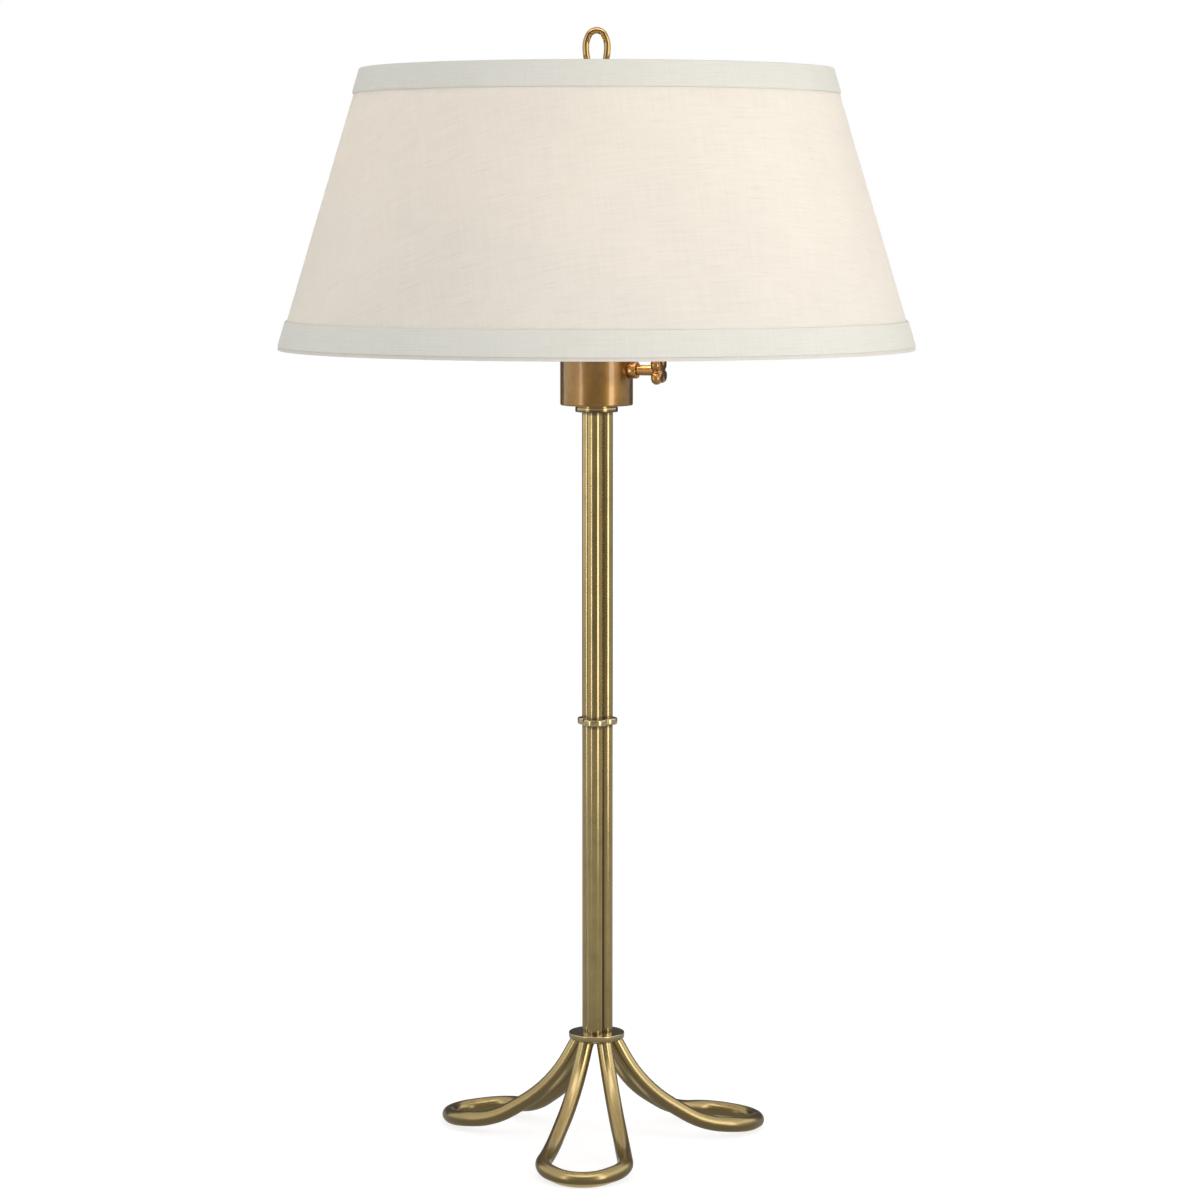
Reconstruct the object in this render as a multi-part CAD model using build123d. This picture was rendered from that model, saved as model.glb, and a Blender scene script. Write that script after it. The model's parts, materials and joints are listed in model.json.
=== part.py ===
from build123d import *
from math import atan, cos, degrees, hypot, radians, sin, sqrt, tan
import os

# Bouillotte table lamp. Millimetres, +Z up, origin on the lamp's axis at the floor.
# The front foot points along -Y.

# ---- driving dimensions: base and stem ----
TUBE_D = 11.2             # outside diameter of every brass tube
TUBE_WALL = 1.0
BRAZE_GAP = 0.05          # clearance between pieces that are brazed, glued or screwed together
LEG_GAP = 0.7             # between a foot's middle plane and its legs' tops
FOOT_GAP = 0.6            # between neighbouring feet's legs, to each side, at the disc
FOOT_ANGLES = {"front": -90, "right": 30, "left": 150}
FOOT_KNEE = (29.5, 14.0, 41.0)    # corners of a leg's path: out, sideways, up
FOOT_SHIN = (75.0, 26.0, 11.5)
FOOT_HEEL = (107.8, 31.0, 8.1)
FOOT_TIP_R = 129.1        # the loop's front run, flat on the floor
FOOT_TIP_S = 10.4
FOOT_BEND_SHARE = 0.49    # part of a run that each bend takes at its end
DISC_RIM = 3.9            # disc past the legs' tops
DISC_T = 4.6
DISC_TOP_Z = 82.5
SPIGOT_H = 6.0            # plugs on the disc that the stem tubes sit over
BOSS_H = 4.0
STEM_TURN = -6.0          # the stem stands turned a little against the feet, degrees
COLLAR_WALL = 3.3
COLLAR_H = 4.7
COLLAR_Z = 311.7
COLLAR_NOTCH = 0.8        # rounding of the notches between the lobes
COLLAR_EDGE = 0.9
INLET_Z = 94.0            # cord inlet in the back of a rear tube
INLET_HOLE_D = 8.0
INLET_BORE_D = 6.2
INLET_PROUD = 1.6
INLET_FLANGE_D = 9.6
INLET_LIP = 1.2           # sleeve inside the tube

# ---- driving dimensions: cup and switch ----
CUP_D = 52.3
CUP_H = 51.0
CUP_BOTTOM_Z = 541.0      # sets the stem's length and the height of all that the cup carries
CUP_WALL = 1.4
CUP_FLOOR = 2.0
COVER_T = 2.0
COVER_LIP = 0.5           # the cover's overhang past the cup
COVER_SPIGOT_H = 3.0
NECK_RIM = 3.25           # neck ring past the tubes
NECK_H = 4.8
NECK_STEP = 0.75          # step round the ring's top
NECK_STEP_H = 1.0
NECK_POCKET = 2.4         # depth that the tubes enter the neck ring
WIRE_HOLE_D = 4.2
SCREW_D = 3.0
SCREW_HEAD_D = 5.2
SCREW_HEAD_H = 1.8
SCREW_IN = 4.05           # screws' middles, in from the neck ring's edge
NIPPLE_D = 9.7
NIPPLE_BORE_D = 6.7
LOCK_NUT_WALL = 1.65
LOCK_NUT_H = 3.5
KEY_TURN = -17.0          # direction of the key's axis from +X, degrees
KEY_UP = 25.7             # key's axis above the cup's bottom
SWITCH_D = 20.0
SWITCH_L = 14.0
SWITCH_IN = 4.65          # switch's front plate, in from the cup's outside
SWITCH_WALL = 1.4
BUSHING_D = 9.5
BUSHING_OUT = 4.35        # these stand out from the cup's outside
BUSHING_FLANGE_D = 14.0
BUSHING_FLANGE_T = 1.8
SWITCH_COLLAR_D = 12.3
SWITCH_COLLAR_OUT = 5.75
COLLAR_LIP_T = 1.2
SHAFT_D = 4.0
SHAFT_IN = 3.1            # shaft's end inside the switch
ROTOR_D = 15.0
ROTOR_T = 4.5
STUD_D = 2.4
STUD_COUNT = 4
KEY_STEM_D = 7.6
KEY_STEM_OUT = 4.85
KEY_HEAD_OUT = 18.35
KEY_HEAD_T = 6.9
KEY_LOBES = 4
KEY_LOBE_R = 4.7
KEY_LOBE_PITCH_R = 7.0
KEY_LOBE_TURN = 5.0
KEY_NOTCH = 0.7           # rounding of the notches between the lobes
KEY_EDGE = 1.9            # rounding of the key head's edges
RUN_GAP = 0.06            # radial running clearance

# ---- driving dimensions: socket, bulb and harp ----
SADDLE_T = 1.5
SADDLE_W = 12.0
HARP_CLEAR = 15.0         # harp's feet, past the socket
SADDLE_RISE = 12.0
HARP_STUD_D = 3.4
HARP_STUD_H = 8.0
HARP_D = 3.6
FERRULE_D = 6.4
FERRULE_H = 18.0
HARP_W = 112.0
HARP_LEG = 28.0           # straight leg that a ferrule slides on
HARP_BENDS = [12, 26, 38, 30]
HARP_SEAT_D = 13.0
HARP_SEAT_T = 4.0
FINIAL_THREAD_D = 6.3
FINIAL_THREAD_H = 6.5
HUB_WALL = 2.15
HUB_H = 6.0
SOCKET_D = 33.0
SOCKET_CAP_H = 17.0
SOCKET_WALL = 0.7
SOCKET_H = 57.0           # from the saddle to the shell's rim
SLEEVE_T = 0.9
SOCKET_BASE_D = 26.0
SOCKET_BASE_H = 13.0
SCREW_SHELL_D = 28.0
SCREW_SHELL_T = 0.5
SCREW_SHELL_H = 26.0
TERMINAL_D = 3.6
BULB_CAP_D = 26.2
BULB_CAP_H = 25.0
BULB_CAP_T = 0.4
BULB_D = 60.0
BULB_NECK_D = 24.6
BULB_H = 95.0             # glass, from the cap's bottom
BULB_LEAN = 33.0          # taper of the glass below the ball, degrees
BULB_NECK_BEND = 14.0
GLASS_T = 0.8
CONTACT_D = 9.0
CONTACT_H = 1.4

# ---- driving dimensions: shade and finial ----
SHADE_UP = 40.4           # the hem's lowest edge above the cup's bottom
SHADE_H = 199.4
SHADE_BOTTOM_D = 457.2    # over the trims, at the bottom trim's lower edge
SHADE_TOP_D = 338.0       # over the trims, at the top edge
TRIM_H = 18.2
TRIM_T = 1.5              # how far the trims stand proud of the fabric
HEM_SHOW = 2.4            # hem tape below the bottom trim
HEM_T = 0.6
FOLD_T = 1.0              # tape across the shade's edges
BINDING_T = 0.8           # tape's inner leg
BINDING_H = 7.0
FABRIC_T = 0.6
LINER_T = 0.9
RING_D = 3.2
SPIDER_WIRE_D = 3.2
SPIDER_ARMS = 3
SPIDER_DROP = 20.8        # from the shade's top edge down to the washer's underside
SPIDER_KNEE = 22.0        # how far inside the ring the arms bend up
SPIDER_BEND = 12.0
WASHER_D = 25.0
WASHER_T = 1.5
FINIAL_TURN = 5.0
FINIAL_BASE_D = 10.5
FINIAL_BASE_H = 6.0
FINIAL_NECK_D = 6.6
LOOP_WIRE_D = 4.75
LOOP_HALF_W = 7.7         # wire's middle, at the loop's widest
LOOP_BOTTOM_UP = 12.6     # heights above the finial's seat
LOOP_WIDE_UP = 34.7
LOOP_TOP_UP = 48.8        # outside, the lamp's highest point
LOOP_TOP_BEND = 6.2
LOOP_BOTTOM_BEND = 4.5

# ---- worked out ----
TUBE_R = TUBE_D / 2
BORE_R = TUBE_R - TUBE_WALL
STEM_PITCH_R = (TUBE_D + BRAZE_GAP) / sqrt(3)
FOOT_TOP_S = TUBE_R + LEG_GAP     # a leg's top, sideways from the foot's middle plane
FOOT_TOP_R = (FOOT_TOP_S * sin(radians(30)) + TUBE_R + FOOT_GAP) / cos(radians(30))
DISC_D = 2 * (FOOT_TOP_R + TUBE_R + DISC_RIM)
BOSS_D = 2 * (hypot(FOOT_TOP_R, FOOT_TOP_S) - 1.25 * TUBE_R)
DISC_BOTTOM_Z = DISC_TOP_Z - DISC_T
NECK_D = 2 * (STEM_PITCH_R + TUBE_R + NECK_RIM)
WIRE_HOLE_R = STEM_PITCH_R + (BORE_R - WIRE_HOLE_D / 2)
SCREW_R = NECK_D / 2 - SCREW_IN
NECK_BOTTOM_Z = CUP_BOTTOM_Z - NECK_H
STEM_TOP_Z = NECK_BOTTOM_Z + NECK_POCKET
CUP_TOP_Z = CUP_BOTTOM_Z + CUP_H
CUP_R = CUP_D / 2
KEY_Z = CUP_BOTTOM_Z + KEY_UP
SWITCH_END = CUP_R - SWITCH_IN    # places along the key's axis, out from the lamp's axis
SWITCH_START = SWITCH_END - SWITCH_L
SHAFT_START = SWITCH_START + SHAFT_IN
BUSHING_END = CUP_R + BUSHING_OUT
SWITCH_COLLAR_END = CUP_R + SWITCH_COLLAR_OUT
KEY_STEM_START = CUP_R + KEY_STEM_OUT
KEY_HEAD_START = CUP_R + KEY_HEAD_OUT
LOCK_NUT_D = NIPPLE_D + 2 * LOCK_NUT_WALL
HUB_D = NIPPLE_D + 2 * HUB_WALL
HARP_SPREAD = SOCKET_D + HARP_CLEAR
SADDLE_Z = CUP_TOP_Z + COVER_T
SOCKET_Z = SADDLE_Z + SADDLE_T
HARP_FOOT_Z = SADDLE_Z + SADDLE_RISE
SHADE_BOTTOM_Z = CUP_BOTTOM_Z + SHADE_UP
SHADE_TOP_Z = SHADE_BOTTOM_Z + SHADE_H
TRIM_Z = SHADE_BOTTOM_Z + HEM_SHOW
WASHER_Z = SHADE_TOP_Z - SPIDER_DROP
FINIAL_Z = WASHER_Z + WASHER_T
LOOP_WIDE_Z = FINIAL_Z + LOOP_WIDE_UP
FABRIC_BOTTOM_R = SHADE_BOTTOM_D / 2 - TRIM_T
FABRIC_TOP_R = SHADE_TOP_D / 2 - TRIM_T
SHADE_LEAN = (FABRIC_BOTTOM_R - FABRIC_TOP_R) / (SHADE_TOP_Z - TRIM_Z)
SHELL_GAP = FABRIC_T + LINER_T + 2 * BRAZE_GAP


def save(node, shape):
    """Write one sub-part under its node's name."""
    export_step(shape, f"parts/{node}.step")


def group(solids):
    """Several separate solids in one node."""
    return Compound(children=list(solids))


def rod(diameter, z0, z1, x=0.0, y=0.0):
    """Upright cylinder between two heights."""
    return Pos(x, y, (z0 + z1) / 2) * Cylinder(diameter / 2, z1 - z0)


def ring(outer_d, inner_d, z0, z1):
    return rod(outer_d, z0, z1) - rod(inner_d, z0 - 1, z1 + 1)


def around(radius, angle):
    """Plan position at a radius and an angle in degrees."""
    return radius * cos(radians(angle)), radius * sin(radians(angle))


def turned(points):
    """Solid of revolution about Z from corners (radius, height)."""
    outline = make_face(Polyline([(r, 0, z) for r, z in points], close=True))
    return revolve(outline, Axis.Z)


# ---- feet ----

def leg_corner(out, side, up, angle):
    c, s = cos(radians(angle)), sin(radians(angle))
    return Vector(out * c - side * s, out * s + side * c, up)


def bend_radius(before, corner, after, share=FOOT_BEND_SHARE):
    """Radius of a bend that takes the given share of its shorter run."""
    a, b = before - corner, after - corner
    turn = radians(180 - a.get_angle(b))
    return share * min(a.length, b.length) / tan(turn / 2)


def foot_path(angle):
    """One tube: down a leg, round the loop's tip and up the other leg."""
    tip_z = TUBE_R
    heel = (FOOT_HEEL[0], FOOT_HEEL[1], max(FOOT_HEEL[2], TUBE_R))
    top = (FOOT_TOP_R, FOOT_TOP_S, DISC_BOTTOM_Z)
    rise = (top[2] + TUBE_D - FOOT_KNEE[2]) / (top[2] - FOOT_KNEE[2])
    start = tuple(k + (t - k) * rise for t, k in zip(top, FOOT_KNEE))
    half = [start, FOOT_KNEE, FOOT_SHIN, heel, (FOOT_TIP_R, FOOT_TIP_S, tip_z)]
    route = half + [(r, -s, z) for r, s, z in reversed(half)]
    corners = [leg_corner(*p, angle) for p in route]
    bends = [bend_radius(*corners[i - 1:i + 2]) for i in range(1, len(corners) - 1)]
    return FilletPolyline(*corners, radius=bends)


def wire(path, radius):
    """Round solid along a path."""
    return sweep(Plane(path @ 0, z_dir=path % 0) * Circle(radius), path=path)


def foot(angle):
    """Bent tube, its two ends cut flush against the disc's underside."""
    path = foot_path(angle)
    above = rod(4 * DISC_D, DISC_BOTTOM_Z, DISC_BOTTOM_Z + 8 * TUBE_D)
    return (wire(path, TUBE_R) - above) - wire(path, BORE_R)


# ---- stem ----

def stem_places():
    """Plan places and angles of the three tangent tubes: front, right, left."""
    for k in range(3):
        angle = -90 + STEM_TURN + 120 * k
        yield (*around(STEM_PITCH_R, angle), angle)


def base_disc():
    body = rod(DISC_D, DISC_BOTTOM_Z, DISC_TOP_Z)
    body = fillet(body.edges().sort_by(Axis.Z)[-1], 0.5)
    body = fillet(body.edges().sort_by(Axis.Z)[0], 1.6)
    for x, y, angle in stem_places():
        spigot_d = 2 * (BORE_R - BRAZE_GAP)
        body += rod(spigot_d, DISC_TOP_Z - 1, DISC_TOP_Z + SPIGOT_H, x, y)
    return body


def base_boss():
    """Round boss between the six tube ends, brazed under the disc."""
    body = rod(BOSS_D, DISC_BOTTOM_Z - BOSS_H, DISC_BOTTOM_Z)
    return fillet(body.edges().sort_by(Axis.Z)[0], 1.0)


def backwards(diameter, y0, y1):
    """Cylinder along +Y between two distances."""
    return Pos(0, (y0 + y1) / 2, 0) * Rot(90, 0, 0) * Cylinder(diameter / 2, y1 - y0)


def stem_tube(x, y, with_inlet):
    tube = rod(TUBE_D, DISC_TOP_Z, STEM_TOP_Z, x, y) - rod(2 * BORE_R, DISC_TOP_Z, STEM_TOP_Z, x, y)
    if with_inlet:
        tube -= Pos(x, y, INLET_Z) * backwards(INLET_HOLE_D, 0, TUBE_D)
    return tube


def cord_bushing(x, y):
    """Flanged bush in the tube's back wall, its flange shaped to the tube."""
    outer_y = TUBE_R + INLET_PROUD
    flange = backwards(INLET_FLANGE_D, TUBE_R / 2, outer_y)
    flange = fillet(flange.edges().sort_by(Axis.Y)[-1], 0.5)
    flange -= Cylinder(TUBE_R + BRAZE_GAP, 2 * TUBE_D)
    sleeve = backwards(INLET_HOLE_D - 2 * BRAZE_GAP, BORE_R - INLET_LIP, outer_y - 0.6)
    bush = flange + sleeve - backwards(INLET_BORE_D, 0, 2 * outer_y)
    return Pos(x, y, INLET_Z) * bush


def lobed(places, lobe_r, core_r, notch_r):
    """Outline of round lobes on a round core, the notches between them rounded.
    Each place is a lobe's distance and angle."""
    face = Rot(0, 0, places[0][1]) * Circle(core_r)
    for reach, angle in places:
        face += Rot(0, 0, angle) * Pos(reach, 0) * Rot(0, 0, 180) * Circle(lobe_r)
    corners = [(hypot(v.X, v.Y), v) for v in face.vertices()]
    nearest = min(reach for reach, v in corners)
    return fillet([v for reach, v in corners if reach < nearest + 0.01], notch_r)


def mid_collar():
    """Three-lobed band that clasps the tubes half way up."""
    z0, z1 = COLLAR_Z - COLLAR_H / 2, COLLAR_Z + COLLAR_H / 2
    places = list(stem_places())
    lobes = [(STEM_PITCH_R, angle) for x, y, angle in places]
    outline = lobed(lobes, TUBE_R + COLLAR_WALL, TUBE_R, COLLAR_NOTCH)
    band = Pos(0, 0, z0) * extrude(outline, COLLAR_H)
    rims = band.edges().filter_by(lambda e: abs(e.center().Z - COLLAR_Z) > COLLAR_H / 2 - 0.01)
    band = fillet(rims, COLLAR_EDGE)
    for x, y, angle in places:
        band -= rod(TUBE_D + 2 * BRAZE_GAP, z0, z1, x, y)
    return band - rod(STEM_PITCH_R + 0.8, z0, z1)


# ---- cup ----

def wire_hole(z0, z1):
    """Hole over the left rear tube's bore for the lamp's own leads."""
    x, y, angle = list(stem_places())[2]
    return rod(WIRE_HOLE_D, z0, z1, *around(WIRE_HOLE_R, angle))


def screw_places():
    for x, y, angle in stem_places():
        yield around(SCREW_R, angle + 60)


def neck_ring():
    """Turned ring that holds the three tubes' tops and carries the cup."""
    bead = rod(NECK_D, NECK_BOTTOM_Z, CUP_BOTTOM_Z - NECK_STEP_H)
    bead = fillet(bead.edges().filter_by(GeomType.CIRCLE), 0.8)
    body = bead + rod(NECK_D - 2 * NECK_STEP, CUP_BOTTOM_Z - NECK_STEP_H - 1, CUP_BOTTOM_Z)
    for x, y, angle in stem_places():
        body -= rod(TUBE_D + 2 * BRAZE_GAP, NECK_BOTTOM_Z - 1, STEM_TOP_Z, x, y)
    body -= rod(NIPPLE_D + 2 * BRAZE_GAP, NECK_BOTTOM_Z - 1, CUP_BOTTOM_Z + 1)
    for x, y in screw_places():
        body -= rod(SCREW_D + 2 * BRAZE_GAP, NECK_BOTTOM_Z + 1, CUP_BOTTOM_Z + 1, x, y)
    return body - wire_hole(NECK_BOTTOM_Z, CUP_BOTTOM_Z + 1)


def cup():
    outside = rod(CUP_D, CUP_BOTTOM_Z, CUP_TOP_Z)
    outside = fillet(outside.edges().sort_by(Axis.Z)[0], 1.2)
    body = outside - rod(CUP_D - 2 * CUP_WALL, CUP_BOTTOM_Z + CUP_FLOOR, CUP_TOP_Z + 1)
    body -= rod(NIPPLE_D + 2 * BRAZE_GAP, CUP_BOTTOM_Z - 1, CUP_BOTTOM_Z + CUP_FLOOR + 1)
    for x, y in screw_places():
        body -= rod(SCREW_D + 2 * BRAZE_GAP, CUP_BOTTOM_Z - 1, CUP_BOTTOM_Z + CUP_FLOOR + 1, x, y)
    body -= wire_hole(CUP_BOTTOM_Z - 1, CUP_BOTTOM_Z + CUP_FLOOR + 1)
    return body - on_key_axis(along_key(BUSHING_D + 2 * BRAZE_GAP, CUP_R / 2, CUP_R + 5))


def neck_screws():
    screws = []
    floor = CUP_BOTTOM_Z + CUP_FLOOR
    for x, y in screw_places():
        head = rod(SCREW_HEAD_D, floor, floor + SCREW_HEAD_H, x, y)
        head = fillet(head.edges().sort_by(Axis.Z)[-1], 0.8)
        slot = Pos(x, y, floor + SCREW_HEAD_H) * Box(SCREW_HEAD_D, 0.8, 1.2)
        screws.append(head - slot + rod(SCREW_D, NECK_BOTTOM_Z + 1.2, floor, x, y))
    return group(screws)


def cup_cover():
    """Lid with a spigot inside the cup's rim and a hole for the threaded pipe."""
    lid = rod(CUP_D + 2 * COVER_LIP, CUP_TOP_Z, SADDLE_Z)
    lid = fillet(lid.edges().sort_by(Axis.Z)[-1], 0.9)
    inside_d = CUP_D - 2 * CUP_WALL - 2 * BRAZE_GAP
    lid += ring(inside_d, inside_d - 2.4, CUP_TOP_Z - COVER_SPIGOT_H, CUP_TOP_Z + 0.5)
    return lid - rod(NIPPLE_D + 2 * BRAZE_GAP, CUP_TOP_Z - 5, SADDLE_Z + 1)


def stack_nipple():
    """Threaded pipe that ties neck ring, cup, cover, saddle and socket together."""
    return ring(NIPPLE_D, NIPPLE_BORE_D, STEM_TOP_Z + 0.3, SOCKET_Z + HUB_H)


def lock_nut():
    floor = CUP_BOTTOM_Z + CUP_FLOOR
    nut = ring(LOCK_NUT_D, NIPPLE_D + 2 * BRAZE_GAP, floor, floor + LOCK_NUT_H)
    slots = Pos(0, 0, floor + LOCK_NUT_H) * Box(2 * LOCK_NUT_D, 1.6, 2.4)
    return nut - slots + ring(LOCK_NUT_D, NIPPLE_D + 2 * BRAZE_GAP, floor, floor + LOCK_NUT_H - 1.2)


# ---- switch, built along +X and then turned to the key's direction ----

def along_key(diameter, x0, x1):
    return Pos((x0 + x1) / 2, 0, 0) * Rot(0, 90, 0) * Cylinder(diameter / 2, x1 - x0)


def on_key_axis(shape):
    return Pos(0, 0, KEY_Z) * Rot(0, 0, KEY_TURN) * shape


def switch_housing():
    body = along_key(SWITCH_D, SWITCH_START, SWITCH_END - SWITCH_WALL)
    room = along_key(SWITCH_D - 2 * SWITCH_WALL, SWITCH_START + SWITCH_WALL, SWITCH_END)
    return on_key_axis(body - room)


def switch_plate():
    """Front plate of the switch, with the threaded bush that passes the cup's wall."""
    plate = along_key(SWITCH_D, SWITCH_END - SWITCH_WALL, SWITCH_END)
    flange = along_key(BUSHING_FLANGE_D, SWITCH_END, SWITCH_END + BUSHING_FLANGE_T)
    sleeve = along_key(BUSHING_D, SWITCH_END, BUSHING_END)
    bore = along_key(SHAFT_D + 2 * RUN_GAP, SWITCH_START, BUSHING_END + 1)
    return on_key_axis(plate + flange + sleeve - bore)


def switch_contacts():
    """Fixed contact studs on the housing's back wall."""
    face = SWITCH_START + SWITCH_WALL
    studs = []
    for k in range(STUD_COUNT):
        y, z = around(ROTOR_D / 2 - STUD_D / 2 - 0.4, 45 + 360 / STUD_COUNT * k)
        studs.append(on_key_axis(Pos(0, y, z) * along_key(STUD_D, face, SHAFT_START + 0.2)))
    return group(studs)


def switch_rotor():
    """Insulating cam on the shaft."""
    start = SHAFT_START + 0.7
    cam = along_key(ROTOR_D, start, start + ROTOR_T)
    for k in range(STUD_COUNT):
        y, z = around(ROTOR_D / 2, 360 / STUD_COUNT * k)
        cam -= Pos(0, y, z) * along_key(STUD_D, start - 1, start + ROTOR_T + 1)
    return on_key_axis(cam - along_key(SHAFT_D, start - 1, start + ROTOR_T + 1))


def switch_shaft():
    return on_key_axis(along_key(SHAFT_D, SHAFT_START, KEY_HEAD_START + KEY_HEAD_T / 2))


def switch_collar():
    """Round nut outside the cup, its back shaped to the cup's wall."""
    body = along_key(SWITCH_COLLAR_D, CUP_R - 4, SWITCH_COLLAR_END)
    body = fillet(body.edges().sort_by(Axis.X)[-1], 0.9)
    body -= along_key(BUSHING_D + 2 * BRAZE_GAP, 0, SWITCH_COLLAR_END - COLLAR_LIP_T)
    body -= along_key(KEY_STEM_D + 2 * RUN_GAP, 0, SWITCH_COLLAR_END + 1)
    return on_key_axis(body) - rod(CUP_D + 2 * BRAZE_GAP, CUP_BOTTOM_Z, CUP_TOP_Z)


def key_knob():
    """Four-lobed key with its stem, bored for the switch shaft."""
    middle = KEY_HEAD_START + KEY_HEAD_T / 2
    places = [(KEY_LOBE_PITCH_R, 45 + KEY_LOBE_TURN + 360 / KEY_LOBES * k) for k in range(KEY_LOBES)]
    outline = lobed(places, KEY_LOBE_R, KEY_LOBE_PITCH_R, KEY_NOTCH)
    head = Pos(KEY_HEAD_START, 0, 0) * extrude(Plane.YZ * outline, KEY_HEAD_T)
    rims = head.edges().filter_by(lambda e: abs(e.center().X - middle) > KEY_HEAD_T / 2 - 0.01)
    head = fillet(rims, KEY_EDGE)
    stem = along_key(KEY_STEM_D, KEY_STEM_START, KEY_HEAD_START + 1)
    return on_key_axis(head + stem - along_key(SHAFT_D, KEY_STEM_START - 1, middle))


# ---- harp and saddle ----

def harp_saddle():
    """Bent strip under the socket with a stud at each end for the harp."""
    half = HARP_SPREAD / 2
    base_z = SADDLE_Z + SADDLE_T / 2
    knee = half - 8
    line = FilletPolyline((-half, 0, HARP_FOOT_Z), (-half, 0, base_z + 5), (-knee, 0, base_z),
                          (knee, 0, base_z), (half, 0, base_z + 5), (half, 0, HARP_FOOT_Z),
                          radius=2.5)
    strip = sweep(Plane(line @ 0, z_dir=line % 0, x_dir=(0, 1, 0)) * Rectangle(SADDLE_W, SADDLE_T), path=line)
    for x in (-half, half):
        strip += rod(HARP_STUD_D, HARP_FOOT_Z - 0.5, HARP_FOOT_Z + HARP_STUD_H, x)
    return strip - rod(NIPPLE_D + 2 * BRAZE_GAP, SADDLE_Z - 1, SADDLE_Z + 5)


def harp_ferrule(side):
    """Sleeve that locks a foot of the harp over the saddle's stud; it slides up the harp's leg."""
    x, z0 = side * HARP_SPREAD / 2, HARP_FOOT_Z + 0.1
    sleeve = rod(FERRULE_D, z0, z0 + FERRULE_H, x)
    sleeve = fillet(sleeve.edges().filter_by(GeomType.CIRCLE), 0.5)
    return sleeve - rod(HARP_D + 2 * BRAZE_GAP, z0 - 1, z0 + FERRULE_H + 1, x)


def harp():
    """Wire hoop round the bulb with a threaded seat on top for the shade."""
    foot_x, side_x = HARP_SPREAD / 2, HARP_W / 2
    foot_z = HARP_FOOT_Z + HARP_STUD_H + 0.2
    top_z = WASHER_Z - HARP_SEAT_T
    half = [(-foot_x, foot_z), (-foot_x, foot_z + HARP_LEG), (-side_x, foot_z + HARP_LEG + 26),
            (-side_x, top_z - 46), (-foot_x, top_z)]
    corners = [Vector(x, 0, z) for x, z in half + [(-x, z) for x, z in reversed(half)]]
    path = FilletPolyline(*corners, radius=HARP_BENDS + HARP_BENDS[::-1])
    hoop = wire(path, HARP_D / 2)
    seat = rod(HARP_SEAT_D, top_z - HARP_D / 2, WASHER_Z)
    seat = fillet(seat.edges().filter_by(GeomType.CIRCLE), 0.6)
    return hoop + seat + rod(FINIAL_THREAD_D, WASHER_Z - 1, WASHER_Z + FINIAL_THREAD_H)


# ---- socket and bulb ----

def socket_cap():
    """Spun brass bell with a threaded hub."""
    r, w, z = SOCKET_D / 2, SOCKET_WALL, SOCKET_Z
    top = z + SOCKET_CAP_H
    bell = turned([(HUB_D / 2, z), (HUB_D / 2, z + HUB_H - 1), (r - 2, z + HUB_H + 4), (r, z + HUB_H + 7),
                   (r, top), (r - w, top), (r - w, z + HUB_H + 7.5), (r - 2.5, z + HUB_H + 5),
                   (NIPPLE_D / 2 + BRAZE_GAP, z + HUB_H + 0.2), (NIPPLE_D / 2 + BRAZE_GAP, z)])
    return bell


def socket_shell():
    r = SOCKET_D / 2 - SOCKET_WALL - BRAZE_GAP
    z0, z1 = SOCKET_Z + SOCKET_CAP_H - 3, SOCKET_Z + SOCKET_H
    inside = r - SOCKET_WALL
    return turned([(r, z0), (r, z1 - 1.5), (r + 0.8, z1 - 0.8), (r, z1), (inside, z1), (inside, z0)])


def socket_sleeve():
    """Insulating paper sleeve inside the shell."""
    r = SOCKET_D / 2 - 2 * SOCKET_WALL - 2 * BRAZE_GAP
    z0, z1 = SOCKET_Z + SOCKET_CAP_H - 4, SOCKET_Z + SOCKET_H - 1
    return ring(2 * r, 2 * (r - SLEEVE_T), z0, z1)


def socket_base():
    """Moulded block that carries the screw shell and the terminals."""
    z0 = SOCKET_Z + HUB_H + 8
    block = rod(SOCKET_BASE_D, z0, z0 + SOCKET_BASE_H)
    block += rod(SCREW_SHELL_D, z0 + SOCKET_BASE_H - 3, z0 + SOCKET_BASE_H)
    block -= rod(5.0, z0 - 1, z0 + SOCKET_BASE_H - 3)
    for side in (-1, 1):
        pocket = Pos(side * SOCKET_BASE_D / 2, 0, z0 + 5) * Box(5, 7, 10.2)
        block -= pocket
    return block


def terminal_screws():
    z = SOCKET_Z + HUB_H + 8 + 5
    screws = []
    for side in (-1, 1):
        x0 = side * (SOCKET_BASE_D / 2 - 2.5)
        screw = Rot(0, 90, 0) * Cylinder(TERMINAL_D / 2, 1.8)
        screws.append(Pos(x0 + side * 0.9, 0, z) * screw)
    return group(screws)


def screw_shell():
    z0 = SOCKET_Z + HUB_H + 8 + SOCKET_BASE_H
    return ring(SCREW_SHELL_D, SCREW_SHELL_D - 2 * SCREW_SHELL_T, z0, z0 + SCREW_SHELL_H)


def centre_contact():
    z0 = SOCKET_Z + HUB_H + 8 + SOCKET_BASE_H
    leaf = Pos(2, 0, z0 + 0.4) * Box(12, 4.5, 0.8)
    return leaf + rod(4.0, z0, z0 + 1.8)


def bulb_bottom_z():
    return SOCKET_Z + HUB_H + 8 + SOCKET_BASE_H + 2.0


def bulb_contact():
    z0 = bulb_bottom_z()
    button = turned([(0, z0), (CONTACT_D / 2, z0), (BULB_CAP_D / 2 - 3, z0 + CONTACT_H + 2),
                     (BULB_CAP_D / 2 - 3, z0 + CONTACT_H + 3), (0, z0 + CONTACT_H + 3)])
    return button


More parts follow.
